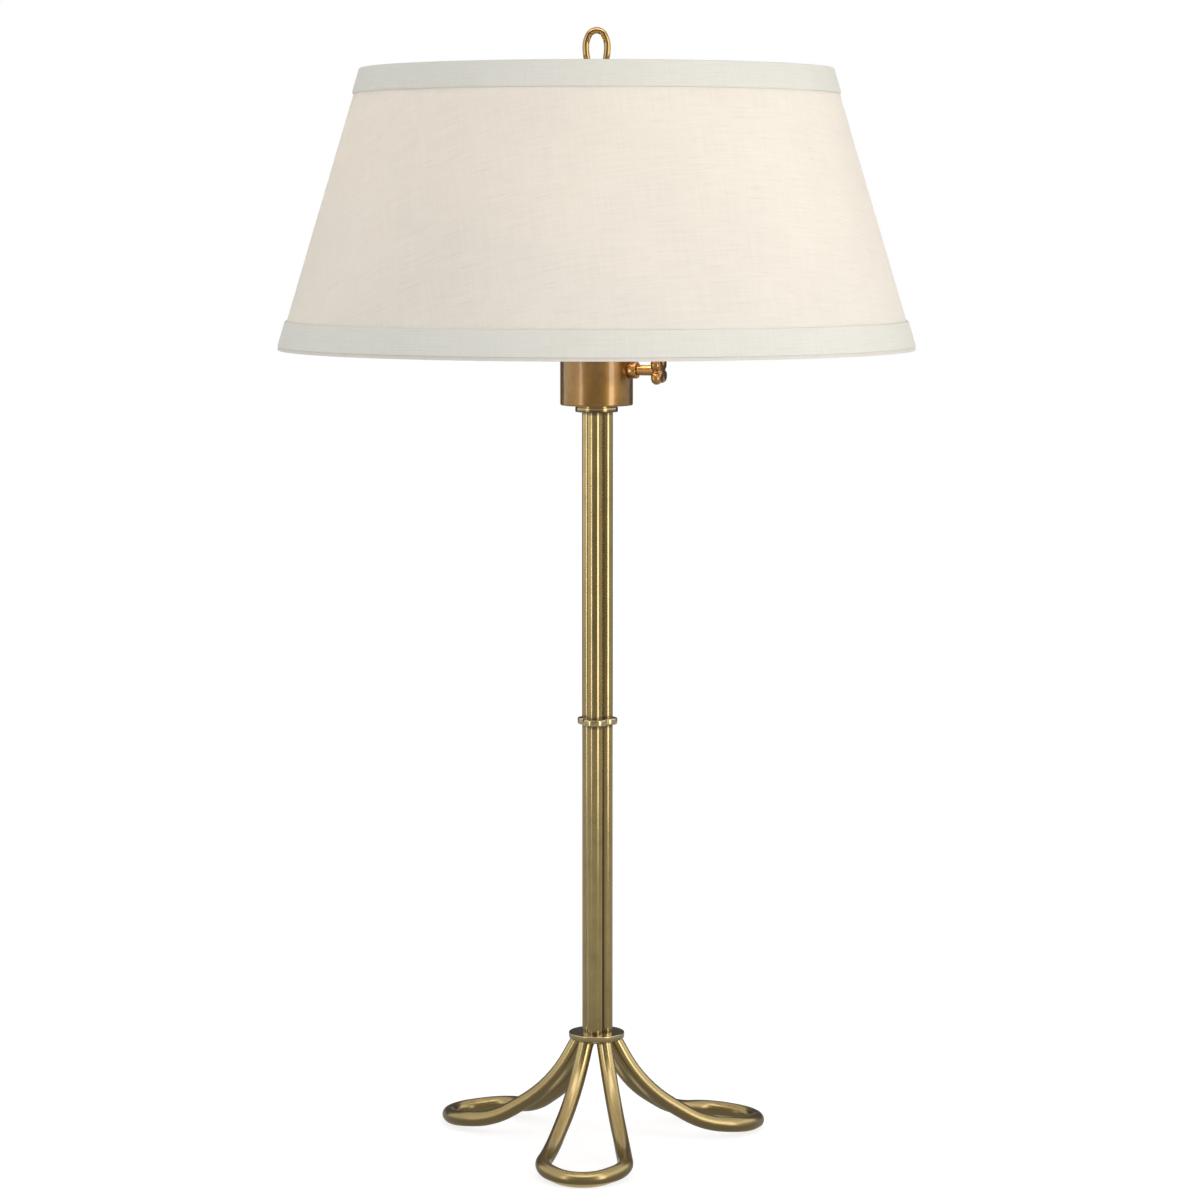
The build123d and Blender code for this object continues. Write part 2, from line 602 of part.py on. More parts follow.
def bulb_cap():
    z0 = bulb_bottom_z() + CONTACT_H
    r, t = BULB_CAP_D / 2, BULB_CAP_T
    return turned([(r - 2.6, z0 + 2), (r, z0 + 5), (r, z0 + BULB_CAP_H), (r - t, z0 + BULB_CAP_H),
                   (r - t, z0 + 5.2), (r - 2.6 - t / 2, z0 + 2.6)])


def bulb_body(inset, foot_z):
    """Ball that runs down into a straight neck, its surface set in by an amount."""
    ball_r, neck_r = BULB_D / 2 - inset, BULB_NECK_D / 2 - inset
    ball_z = bulb_bottom_z() + BULB_H - BULB_D / 2
    low_r, low_z = around(ball_r, -BULB_LEAN)
    mid_r, mid_z = around(ball_r, (90 - BULB_LEAN) / 2)
    neck_z = low_z - (low_r - neck_r) / tan(radians(BULB_LEAN))
    arc = ThreePointArc((0, ball_z + ball_r), (mid_r, ball_z + mid_z), (low_r, ball_z + low_z))
    neck = FilletPolyline((low_r, ball_z + low_z), (neck_r, ball_z + neck_z), (neck_r, foot_z),
                          radius=BULB_NECK_BEND + inset)
    rest = Polyline((neck_r, foot_z), (0, foot_z), (0, ball_z + ball_r))
    return revolve(Plane.XZ * make_face([arc, *neck.edges(), *rest.edges()]), Axis.Z)


def bulb_glass():
    """Thin glass, open at the neck's foot inside the cap."""
    foot_z = bulb_bottom_z() + CONTACT_H + 6
    return bulb_body(0, foot_z) - bulb_body(GLASS_T, foot_z - 1)


# ---- shade ----

def shade_r(z):
    """Outside radius of the fabric at a height."""
    return FABRIC_BOTTOM_R - SHADE_LEAN * (z - TRIM_Z)


def cone_shell(z0, z1, outside, inside):
    """Conical wall between two heights, its faces set out from the fabric's outside."""
    return turned([(shade_r(z0) + outside, z0), (shade_r(z1) + outside, z1),
                   (shade_r(z1) + inside, z1), (shade_r(z0) + inside, z0)])


def shade_fabric():
    return cone_shell(SHADE_BOTTOM_Z + FOLD_T, SHADE_TOP_Z - FOLD_T, 0, -FABRIC_T)


def shade_liner():
    outside = -FABRIC_T - BRAZE_GAP
    return cone_shell(SHADE_BOTTOM_Z + FOLD_T, SHADE_TOP_Z - FOLD_T, outside, outside - LINER_T)


def frame_ring_r(z):
    return shade_r(z) - SHELL_GAP - RING_D / 2 - 0.5


def bottom_ring():
    z = SHADE_BOTTOM_Z + FOLD_T + BRAZE_GAP + RING_D / 2
    return Pos(0, 0, z) * Torus(frame_ring_r(z), RING_D / 2)


def folded_tape(edge_z, up, height, outside):
    """Tape folded over an edge of the shade; up is 1 at the bottom edge, -1 at the top."""
    inside = -SHELL_GAP - RING_D - 1.2
    outer = cone_shell(*sorted((edge_z, edge_z + up * height)), outside, BRAZE_GAP)
    fold = cone_shell(*sorted((edge_z, edge_z + up * (FOLD_T - BRAZE_GAP))), outside, inside - BINDING_T)
    inner = cone_shell(*sorted((edge_z, edge_z + up * BINDING_H)), inside, inside - BINDING_T)
    return outer + fold + inner


def hem_tape():
    """Tape round the bottom edge; it also backs the bottom trim."""
    return folded_tape(SHADE_BOTTOM_Z, 1, HEM_SHOW + TRIM_H, HEM_T + BRAZE_GAP)


def bottom_trim():
    return cone_shell(TRIM_Z, TRIM_Z + TRIM_H, TRIM_T, HEM_T + 2 * BRAZE_GAP)


def top_trim():
    """Trim folded over the top edge, notched for the spider's arms."""
    trim = folded_tape(SHADE_TOP_Z, -1, TRIM_H, TRIM_T)
    for arm in spider_arms(SPIDER_WIRE_D + 2 * BRAZE_GAP):
        trim -= arm
    return trim


def spider_arm(angle, diameter):
    """Wire from the washer out to the ring, bent up at its end."""
    ring_z = top_ring_z()
    z = WASHER_Z + WASHER_T + SPIDER_WIRE_D / 2 - 0.4
    ring_r = frame_ring_r(ring_z)
    start = Vector(*around(WASHER_D / 2 - 4, angle), z)
    knee = Vector(*around(ring_r - SPIDER_KNEE, angle), z)
    end = Vector(*around(ring_r, angle), ring_z)
    return wire(FilletPolyline(start, knee, end, radius=SPIDER_BEND), diameter / 2)


def top_ring_z():
    return SHADE_TOP_Z - FOLD_T - BRAZE_GAP - RING_D / 2


def spider_arms(diameter):
    return [spider_arm(90 + 360 / SPIDER_ARMS * k, diameter) for k in range(SPIDER_ARMS)]


def shade_spider():
    """Welded top frame: ring and three arms, their inner ends flat on the washer."""
    z = top_ring_z()
    frame = Pos(0, 0, z) * Torus(frame_ring_r(z), RING_D / 2)
    for arm in spider_arms(SPIDER_WIRE_D):
        frame += arm
    return frame - rod(WASHER_D + 2 * BRAZE_GAP, WASHER_Z, FINIAL_Z)


def spider_washer():
    """Washer under the arms' inner ends; it sits on the harp and the finial clamps it."""
    return ring(WASHER_D, FINIAL_THREAD_D + 2 * RUN_GAP, WASHER_Z, FINIAL_Z - BRAZE_GAP)


# ---- finial ----

def side_bend(bend, rise):
    """Radius and centre offset of a side arc that is upright at the widest point
    and meets an end arc of the given radius whose centre lies rise away."""
    w = LOOP_HALF_W
    radius = (w * w + rise * rise - bend * bend) / (2 * (w - bend))
    return radius


def loop_half(centre_z, bend, up):
    """Half of the loop's line: a side arc, an end arc and the other side arc."""
    rise = abs(centre_z - LOOP_WIDE_Z)
    side = side_bend(bend, rise)
    swing = degrees(atan(rise / (side - LOOP_HALF_W)))
    left = CenterArc((side - LOOP_HALF_W, LOOP_WIDE_Z), side, 180, -up * swing)
    end = CenterArc((0, centre_z), bend, 180 - up * swing, -up * (180 - 2 * swing))
    right = CenterArc((LOOP_HALF_W - side, LOOP_WIDE_Z), side, 0, up * swing)
    return [left, end, right]


def finial():
    """Oval wire loop on a short threaded base."""
    wire_r = LOOP_WIRE_D / 2
    loop_z = FINIAL_Z + LOOP_BOTTOM_UP
    top_centre = FINIAL_Z + LOOP_TOP_UP - wire_r - LOOP_TOP_BEND
    bottom_centre = loop_z + wire_r + LOOP_BOTTOM_BEND
    arcs = loop_half(top_centre, LOOP_TOP_BEND, 1) + loop_half(bottom_centre, LOOP_BOTTOM_BEND, -1)
    loop = None
    for arc in arcs:
        piece = wire(Plane.XZ * arc, wire_r)
        loop = piece if loop is None else loop + piece
    base = rod(FINIAL_BASE_D, FINIAL_Z, FINIAL_Z + FINIAL_BASE_H)
    base = fillet(base.edges().filter_by(GeomType.CIRCLE), 0.8)
    neck = rod(FINIAL_NECK_D, FINIAL_Z + 1, loop_z + wire_r)
    bore_d = FINIAL_THREAD_D + 2 * RUN_GAP
    solid = loop + base + neck - rod(bore_d, FINIAL_Z - 1, WASHER_Z + FINIAL_THREAD_H + 0.3)
    return Rot(0, 0, FINIAL_TURN) * solid


def main():
    os.makedirs("parts", exist_ok=True)
    for name, angle in FOOT_ANGLES.items():
        save(f"foot_{name}", foot(angle))
    save("base_disc", base_disc())
    save("base_boss", base_boss())
    places = list(stem_places())
    for name, (x, y, angle) in zip(("front", "right", "left"), places):
        save(f"stem_tube_{name}", stem_tube(x, y, name == "left"))
    left_x, left_y, angle = places[2]
    save("cord_bushing", cord_bushing(left_x, left_y))
    save("mid_collar", mid_collar())
    save("neck_ring", neck_ring())
    save("neck_screws", neck_screws())
    save("cup", cup())
    save("cup_cover", cup_cover())
    save("stack_nipple", stack_nipple())
    save("lock_nut", lock_nut())
    save("switch_housing", switch_housing())
    save("switch_plate", switch_plate())
    save("switch_contacts", switch_contacts())
    save("switch_rotor", switch_rotor())
    save("switch_shaft", switch_shaft())
    save("switch_collar", switch_collar())
    save("key_knob", key_knob())
    save("harp_saddle", harp_saddle())
    save("ferrule_left", harp_ferrule(-1))
    save("ferrule_right", harp_ferrule(1))
    save("harp", harp())
    save("socket_cap", socket_cap())
    save("socket_shell", socket_shell())
    save("socket_sleeve", socket_sleeve())
    save("socket_base", socket_base())
    save("terminal_screws", terminal_screws())
    save("screw_shell", screw_shell())
    save("centre_contact", centre_contact())
    save("bulb_contact", bulb_contact())
    save("bulb_cap", bulb_cap())
    save("bulb_glass", bulb_glass())
    save("shade_fabric", shade_fabric())
    save("shade_liner", shade_liner())
    save("shade_bottom_ring", bottom_ring())
    save("shade_spider", shade_spider())
    save("spider_washer", spider_washer())
    save("shade_hem_tape", hem_tape())
    save("shade_bottom_trim", bottom_trim())
    save("shade_top_trim", top_trim())
    save("finial", finial())


if __name__ == "__main__":
    main()
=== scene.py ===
import json
import math
from functools import partial

import bmesh
import bpy
from bpy.props import FloatProperty, FloatVectorProperty, IntProperty, PointerProperty
from mathutils import Matrix, Vector


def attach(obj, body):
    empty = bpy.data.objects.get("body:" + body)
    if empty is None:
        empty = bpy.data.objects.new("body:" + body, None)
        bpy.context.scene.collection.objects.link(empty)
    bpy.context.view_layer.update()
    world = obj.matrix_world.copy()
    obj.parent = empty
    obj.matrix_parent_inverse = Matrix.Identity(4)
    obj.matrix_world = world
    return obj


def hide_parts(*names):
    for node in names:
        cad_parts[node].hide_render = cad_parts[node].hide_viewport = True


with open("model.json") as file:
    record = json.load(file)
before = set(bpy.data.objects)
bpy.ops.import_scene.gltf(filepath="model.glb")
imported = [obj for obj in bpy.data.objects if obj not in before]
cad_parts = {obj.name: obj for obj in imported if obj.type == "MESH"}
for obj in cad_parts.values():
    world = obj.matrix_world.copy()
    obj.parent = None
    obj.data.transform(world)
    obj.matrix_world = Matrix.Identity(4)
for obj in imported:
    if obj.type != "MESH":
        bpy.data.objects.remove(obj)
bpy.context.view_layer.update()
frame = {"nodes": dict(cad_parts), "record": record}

bl_info = {
    "name": "Bouillotte Table Lamp",
    "version": (1, 0, 0),
    "blender": (4, 5, 0),
    "location": "3D View > Sidebar > Lamp",
    "description": "Builds a brass table lamp with a linen shade around its CAD frame",
    "category": "Add Mesh",
}

MM = 0.001
UP = Vector((0, 0, 1))
FULL_TURN = 2 * math.pi
MERGE = 0.002 * MM                      # vertices closer than this are one
CLOTH_UNIT = 1.4                        # metres of flat cloth to one unit of its UV map

# Directions are seen from above, from +X towards +Y.
FOOT_ANGLES = {"front": -90, "right": 30, "left": 150}
STEM_TURN = -6                          # degrees that the stem stands turned against the feet
KEY_TURN = math.radians(-17)            # direction of the key's axis
CAMERA_AZIMUTH = math.radians(-84.92)
SEAM = CAMERA_AZIMUTH + math.pi         # the shade's seams are at the back


# ---- sizes and colours ----

def linear(code):
    """Linear RGB of an sRGB hex colour."""
    def channel(text):
        c = int(text, 16) / 255
        return c / 12.92 if c <= 0.04045 else ((c + 0.055) / 1.055) ** 2.4
    return tuple(channel(code[i:i + 2]) for i in (0, 2, 4))


def size(name, description, value):
    """A length in millimetres, kept in metres."""
    return FloatProperty(name=name, description=description, default=value * MM, min=0.0, precision=4,
                         unit="LENGTH")


def colour(name, description, code):
    return FloatVectorProperty(name=name, description=description, default=linear(code), size=3,
                               min=0.0, max=1.0, subtype="COLOR")


def number(name, description, value, high):
    return FloatProperty(name=name, description=description, default=value, min=0.0, max=high)


class LampStandSizes(bpy.types.PropertyGroup):
    tube: size("Tube", "Outside diameter of every brass tube", 11.2)
    wall: size("Tube wall", "Wall of the brass tube", 1.0)
    foot_top_out: size("Leg top", "A leg's axis under the disc, out from the lamp's axis", 10.797)
    foot_top_side: size("Leg spread", "A leg's axis under the disc, from the foot's middle plane", 6.3)
    disc: size("Disc", "Diameter of the base disc", 40.6)
    disc_bottom: size("Disc underside", "Height of the disc's underside", 77.9)
    disc_top: size("Disc top", "Height of the disc's top", 82.5)
    boss: size("Boss", "Diameter of the boss under the disc", 11.0)
    stem_pitch: size("Stem pitch", "Each stem tube's axis, out from the lamp's axis", 6.495)
    stem_top: size("Stem top", "Height where the stem tubes end inside the neck ring", 538.6)
    inlet: size("Cord inlet", "Height of the cord inlet's axis", 94.0)
    inlet_hole: size("Inlet hole", "Diameter of the hole for the cord inlet's bush", 8.0)


class LampCupSizes(bpy.types.PropertyGroup):
    neck: size("Neck ring", "Diameter of the neck ring", 30.7)
    bottom: size("Cup bottom", "Height of the cup's underside", 541.0)
    top: size("Cup top", "Height of the cup's rim", 592.0)
    cup: size("Cup", "Diameter of the cup", 52.3)
    wall: size("Cup wall", "Wall of the spun cup", 1.4)
    cover: size("Cover", "Diameter of the cup's cover", 53.3)
    key: size("Key axis", "Height of the switch key's axis", 566.7)
    key_collar: size("Key collar", "Diameter of the switch's collar", 12.3)
    key_collar_out: size("Key collar length", "How far the collar stands out of the cup's wall", 5.75)
    key_stem: size("Key stem", "Diameter of the key's stem", 7.6)
    key_head_out: size("Key length", "How far the key's head starts from the cup's wall", 18.35)
    key_head: size("Key head", "Thickness of the key's head", 6.9)
    key_core: size("Key core", "Each lobe's middle, out from the key's axis", 7.0)
    key_lobe: size("Key lobe", "Radius of a lobe", 4.7)


class LampLightSizes(bpy.types.PropertyGroup):
    socket: size("Socket", "Diameter of the socket's cap", 33.0)
    socket_bottom: size("Socket bottom", "Height of the socket's hub", 595.5)
    bulb: size("Bulb", "Diameter of the bulb", 60.0)
    bulb_middle: size("Bulb middle", "Height of the middle of the bulb's ball", 689.5)
    bulb_glass: size("Bulb glass", "Thickness of the bulb's glass", 0.8)
    harp_wire: size("Harp wire", "Diameter of the harp's wire", 3.6)
    harp_foot: size("Harp spread", "A harp leg's axis, from the lamp's axis", 24.0)
    harp_side: size("Harp side", "The harp's widest place, from the lamp's axis", 56.0)
    harp_top: size("Harp top", "Height of the harp's top wire", 756.0)


class LampShadeSizes(bpy.types.PropertyGroup):
    bottom: size("Shade bottom", "Height of the hem", 581.4)
    top: size("Shade top", "Height of the shade's top edge", 780.8)
    trim_start: size("Bottom trim", "Height where the bottom trim starts", 583.8)
    bottom_radius: size("Bottom radius", "Outside of the fabric where the bottom trim starts", 227.1)
    top_radius: size("Top radius", "Outside of the fabric at the top edge", 167.5)
    trim: size("Trim", "Height of each trim", 18.2)
    trim_proud: size("Trim thickness", "How far the trims stand proud of the fabric", 1.5)
    turn_in: size("Turn-in", "Height of a tape's end, folded in over the edge", 7.0)
    fabric: size("Fabric", "Thickness of the linen", 0.6)
    liner: size("Liner", "Thickness of the stiff liner", 0.9)
    wire: size("Frame wire", "Diameter of the shade frame's wire", 3.2)
    washer: size("Washer", "Height of the spider washer's underside", 760.0)


class LampFinialSizes(bpy.types.PropertyGroup):
    seat: size("Finial seat", "Height of the finial's underside", 761.5)
    wire: size("Loop wire", "Diameter of the finial's wire", 4.75)
    half_width: size("Loop half width", "The wire's middle at the loop's widest", 7.7)
    wide: size("Loop widest", "Height of the loop's widest place", 796.2)
    top: size("Loop top", "Height of the loop's top", 810.3)
    bottom: size("Loop bottom", "Height of the underside of the loop's wire", 774.1)


class LampColours(bpy.types.PropertyGroup):
    tube: colour("Tube brass", "Satin antique brass of the feet and the stem", "B7A067")
    # This colour is the brass's patina, and also the painted shade in the grooves between the stem tubes.
    tube_patina_and_painted_shade: colour("Tube patina", "Dark patina on the tubes, the disc and the harp", "4E3C20")
    turned: colour("Turned brass", "Antique brass of the disc and the stem's collar", "C6B17E")
    spun: colour("Spun brass", "Browner antique brass of the cup", "A67E40")
    # The key's redder, brighter brass paints in the reflection of the shade's warm underside.
    key: colour("Key brass", "Redder, brighter brass of the switch key and its collar", "C4904A")
    spun_patina: colour("Spun patina", "Brown patina on the cup, the key and the finial", "6B4520")
    polished: colour("Polished brass", "Polished brass of the finial", "AC8A4A")
    harp: colour("Harp brass", "Brass plating on the harp's steel wire", "B0915A")
    shell: colour("Shell brass", "Thin spun brass of the socket", "BF9A5B")
    linen: colour("Linen", "The shade's cloth", "FAF7F1")
    trim: colour("Trim", "The shade's woven trims", "E8E6DC")
    hem: colour("Hem tape", "Bias tape round the shade's bottom edge", "E6E0D8")
    liner: colour("Liner", "Matt styrene behind the linen", "FAF8F3")
    bulb_glow: colour("Bulb glow", "Warm light of the bulb", "FFDFC8")


class LampStage(bpy.types.PropertyGroup):
    lens: number("Lens", "Focal length in millimetres on a 36 mm sensor", 110.5, 300.0)
    glow: number("Bulb strength", "How strongly the bulb glows", 19.0, 100.0)
    right_light: number("Right softbox", "Radiance of the broad softbox", 3.2, 20.0)
    left_light: number("Left softbox", "Radiance of the narrow softbox", 2.6, 20.0)
    facets: IntProperty(name="Facets", description="Facets round a turned piece", default=96, min=24,
                        max=256)


class LampSettings(bpy.types.PropertyGroup):
    stand: PointerProperty(type=LampStandSizes)
    cup: PointerProperty(type=LampCupSizes)
    light: PointerProperty(type=LampLightSizes)
    shade: PointerProperty(type=LampShadeSizes)
    finial: PointerProperty(type=LampFinialSizes)
    colours: PointerProperty(type=LampColours)
    stage: PointerProperty(type=LampStage)


def lamp():
    return bpy.context.scene.bouillotte_lamp


# ---- nodes ----

def add_node(tree, kind, inputs=(), **settings):
    """Adds a node with its settings and returns its outputs. The inputs are in order or by name, each a
    value or the output that feeds it."""
    node = tree.nodes.new("ShaderNode" + kind)
    for key, value in settings.items():
        setattr(node, key, value)
    for key, value in inputs.items() if isinstance(inputs, dict) else enumerate(inputs):
        if isinstance(value, bpy.types.NodeSocket):
            tree.links.new(value, node.inputs[key])
        else:
            node.inputs[key].default_value = value
    return node.outputs


def solid(rgb):
    return (*rgb, 1.0)


def per_mm(*lengths):
    """Scale, or scales along X, Y and Z, of a pattern whose lumps are this long in millimetres."""
    return 1 / (lengths[0] * MM) if len(lengths) == 1 else [1 / (mm * MM) for mm in lengths]


def emptied(owner):
    """Clears a material's or a world's nodes, and returns the function that adds nodes to it."""
    owner.use_nodes = True
    owner.node_tree.nodes.clear()
    return partial(add_node, owner.node_tree)


def material(name, look, *values):
    """New material. A look adds the nodes for its values and returns the shader."""
    mat = bpy.data.materials.new(name)
    add = emptied(mat)
    add("OutputMaterial", [look(add, *values)])
    return mat


# ---- finishes ----

# How the metal was worked: the scratches' lengths in mm along X, Y and Z of what they follow, and their
# noise's detail. They are a few hundredths of a millimetre wide, drawn coarser so that they show.
GRAINS = {"tube": ((0.5, 0.5, 22), 2.0), "lathe": ((0.35, 1, 0.35), 2.0), "plain": ((0.8, 0.8, 0.8), 3.0),
          "buffed": ((5, 5, 5), 3.0)}
# At 536.2 mm, on the neck ring, this darkening is painted shade under the cup.
TUBE_JOINTS = (82.5, 309.3, 314.1, 536.2)       # heights in mm where polish can't reach
LACQUER_ROUGHNESS = 0.07


def brass(add, base, patina, roughness, grain, patina_share, coat=1.0, foot_blur=0.0):
    """Aged brass under lacquer. Rubbing leaves satin highlights and takes the brown patina off the open
    places, so it stays in patches and close to the joints. The darkening in the grooves between tubes is
    partly that patina and partly painted shade."""
    place = add("TexCoord")["Object"]
    x, y, height = add("SeparateXYZ", [place])
    flat = add("CombineXYZ", [x, y])[0]
    out = add("VectorMath", [flat], operation="LENGTH")["Value"]

    # Patina as patches 13 mm wide and as small specks.
    patina_and_painted_shade = 0.0
    for width, detail, rough, low, high, share in ((13, 3.0, 0.5, 0.42, 0.72, patina_share),
                                                   (2.2, 2.0, 0.55, 0.58, 0.78, 0.06)):
        lumps = add("TexNoise", {"Vector": place, "Scale": per_mm(width), "Detail": detail,
                                 "Roughness": rough})[0]
        spots = add("MapRange", [lumps, low, high, 0.0, share])[0]
        patina_and_painted_shade = add("Math", [patina_and_painted_shade, spots], operation="MAXIMUM")[0]
    if grain == "tube":
        # Patina by distance: up from the feet, out from the groove and away from each joint. The darkening
        # out from the groove is partly patina and partly painted shade between the tubes.
        shaded = [(height, 40, 80, 0.35), (out, 4.6, 8.2, 1.0)]
        for joint in TUBE_JOINTS:
            past = add("Math", [height, joint * MM], operation="SUBTRACT")[0]
            shaded.append((add("Math", [past], operation="ABSOLUTE")[0], 0.4, 3.5, 0.8))
        for distance, start, end, share in shaded:
            dark = add("MapRange", [distance, start * MM, end * MM, share, 0.0],
                       interpolation_type="SMOOTHSTEP")[0]
            patina_and_painted_shade = add("Math", [patina_and_painted_shade, dark], operation="MAXIMUM")[0]
    tone = add("Mix", {0: patina_and_painted_shade, 6: solid(base), 7: solid(patina)}, data_type="RGBA")[2]
    drift = add("TexNoise", {"Vector": place, "Scale": per_mm(34), "Detail": 2.0, "Roughness": 0.55})[0]
    shift = add("MapRange", [drift, 0.3, 0.7, 0.94, 1.04])[0]
    tone = add("VectorMath", {0: tone, "Scale": shift}, operation="SCALE")[0]

    follows = place
    if grain == "tube":
        follows = add("Attribute", attribute_name="along_tube")["Vector"]
    elif grain == "lathe":
        follows = add("CombineXYZ", {"X": out, "Z": height})[0]
    lengths, detail = GRAINS[grain]
    streaks = add("VectorMath", [follows, per_mm(*lengths)], operation="MULTIPLY")[0]
    scratch = add("TexNoise", {"Vector": streaks, "Scale": 1.0, "Detail": detail, "Roughness": 0.55})[0]
    rough = add("MapRange", [scratch, 0.3, 0.7, roughness - 0.03, roughness + 0.03])[0]
    dull = add("MapRange", [patina_and_painted_shade, 0.0, 1.0, 0.0, 0.10])[0]
    rough = add("Math", [rough, dull], operation="ADD")[0]
    if foot_blur:
        # The feet are bent by hand and rubbed less evenly than the stem.
        blur = add("MapRange", [height, 50 * MM, 78 * MM, foot_blur, 0.0],
                   interpolation_type="SMOOTHSTEP")[0]
        rough = add("Math", [rough, blur], operation="ADD")[0]
    dents = add("TexNoise", {"Vector": place, "Scale": per_mm(7), "Detail": 2.0, "Roughness": 0.55})[0]
    relief = add("Math", [scratch, dents], operation="ADD")[0]
    bump = add("Bump", {"Strength": 0.15, "Distance": 0.01 * MM, "Height": relief})[0]
    return add("BsdfPrincipled", {"Base Color": tone, "Metallic": 1.0, "Roughness": rough, "Normal": bump,
                                  "Coat Weight": coat, "Coat Roughness": LACQUER_ROUGHNESS})[0]


def cloth(add, base, thread_mm, slant, through, relief, slub=1.0):
    """Plain-weave cloth. The threads are 0.36 mm apart, drawn coarser so that they show, with the odd
    thick thread, or slub. Light passes through it, and it has no gloss."""
    flat = add("UVMap", uv_map="cut")[0]
    laid = add("Mapping", {"Vector": flat, "Rotation": (0, 0, slant)})[0]
    noises = []
    for lengths, detail, rough in (((26, thread_mm, 1000), 2.0, 0.6), ((thread_mm, 26, 1000), 2.0, 0.6),
                                   ((15, 1.1, 1000), 1.0, 0.55)):
        threads = add("VectorMath", [laid, per_mm(*lengths)], operation="MULTIPLY")[0]
        noises.append(add("TexNoise", {"Vector": threads, "Scale": 1.0, "Detail": detail,
                                       "Roughness": rough})[0])
    weft, warp, odd = noises
    slubs = add("MapRange", [odd, 0.60, 0.74, 0.0, slub])[0]
    cloud = add("TexNoise", {"Vector": flat, "Scale": per_mm(60), "Detail": 3.0, "Roughness": 0.55})[0]
    value = 1.0
    for part, low, high, dark, light in ((weft, 0.25, 0.75, 0.965, 1.025), (warp, 0.25, 0.75, 0.975, 1.02),
                                         (slubs, 0.0, 1.0, 1.0, 0.955), (cloud, 0.3, 0.7, 0.99, 1.01)):
        share = add("MapRange", [part, low, high, dark, light])[0]
        value = add("Math", [value, share], operation="MULTIPLY")[0]
    tone = add("VectorMath", {0: base, "Scale": value}, operation="SCALE")[0]
    heights = [(weft, 0.8), (warp, 0.6), (slubs, 1.0)]
    for direction in ("X", "Y"):
        wave = add("TexWave", {"Vector": laid, "Scale": FULL_TURN / (20 * thread_mm * MM)},
                   wave_type="BANDS", bands_direction=direction)["Fac"]
        heights.append((wave, 0.4))
    weave = 0.0
    for part, share in heights:
        lift = add("Math", [part, share], operation="MULTIPLY")[0]
        weave = add("Math", [weave, lift], operation="ADD")[0]
    bump = add("Bump", {"Strength": relief, "Distance": 0.12 * MM, "Height": weave})[0]
    front = add("BsdfPrincipled", {"Base Color": tone, "Roughness": 0.92, "Normal": bump,
                                   "Specular IOR Level": 0.2, "Sheen Weight": 0.08,
                                   "Sheen Roughness": 0.5})[0]
    return add("MixShader", [through, front, add("BsdfTranslucent", [tone])[0]])[0]


def styrene(add, base, through):
    """Rolled styrene sheet: dead flat white, with a faint drag from the roller, and light passes through."""
    place = add("TexCoord")["Object"]
    run = add("VectorMath", [place, per_mm(3, 3, 40)], operation="MULTIPLY")[0]
    drag = add("TexNoise", {"Vector": run, "Scale": 1.0, "Detail": 2.0, "Roughness": 0.55})[0]
    shift = add("MapRange", [drag, 0.3, 0.7, 0.985, 1.01])[0]
    tone = add("VectorMath", {0: base, "Scale": shift}, operation="SCALE")[0]
    bump = add("Bump", {"Strength": 0.2, "Distance": 0.05 * MM, "Height": drag})[0]
    front = add("BsdfPrincipled", {"Base Color": tone, "Roughness": 0.75, "Normal": bump,
                                   "IOR": 1.55})[0]
    return add("MixShader", [through, front, add("BsdfTranslucent", [tone])[0]])[0]


def plain(add, base, second, roughness, lump_mm, relief_mm, constants):
    """A finish of two close colours in lumps of one size, with a little relief. The constants are the
    shader's other sockets."""
    place = add("TexCoord")["Object"]
    lumps = add("TexNoise", {"Vector": place, "Scale": per_mm(lump_mm), "Detail": 3.0,
                             "Roughness": 0.55})[0]
    share = add("MapRange", [lumps, 0.35, 0.65])[0]
    tone = add("Mix", {0: share, 6: solid(linear(base)), 7: solid(linear(second))}, data_type="RGBA")[2]
    rough = add("MapRange", [lumps, 0.3, 0.7, roughness - 0.04, roughness + 0.05])[0]
    bump = add("Bump", {"Strength": 0.4, "Distance": relief_mm * MM, "Height": lumps})[0]
    return add("BsdfPrincipled", {"Base Color": tone, "Roughness": rough, "Normal": bump, **constants})[0]


def frosted_glass(add, glow, strength):
    """Blown glass coated white inside: an even warm glow, with a soft gloss on the outside."""
    place = add("TexCoord")["Object"]
    coat = add("TexNoise", {"Vector": place, "Scale": per_mm(5), "Detail": 3.0, "Roughness": 0.55})[0]
    share = add("MapRange", [coat, 0.3, 0.7])[0]
    tone = add("Mix", {0: share, 6: solid(linear("F6F3EC")), 7: solid(linear("FBF9F4"))},
               data_type="RGBA")[2]
    rough = add("MapRange", [coat, 0.3, 0.7, 0.2, 0.28])[0]
    return add("BsdfPrincipled", {"Base Color": tone, "Roughness": rough, "IOR": 1.5,
                                  "Emission Color": solid(glow), "Emission Strength": strength})[0]


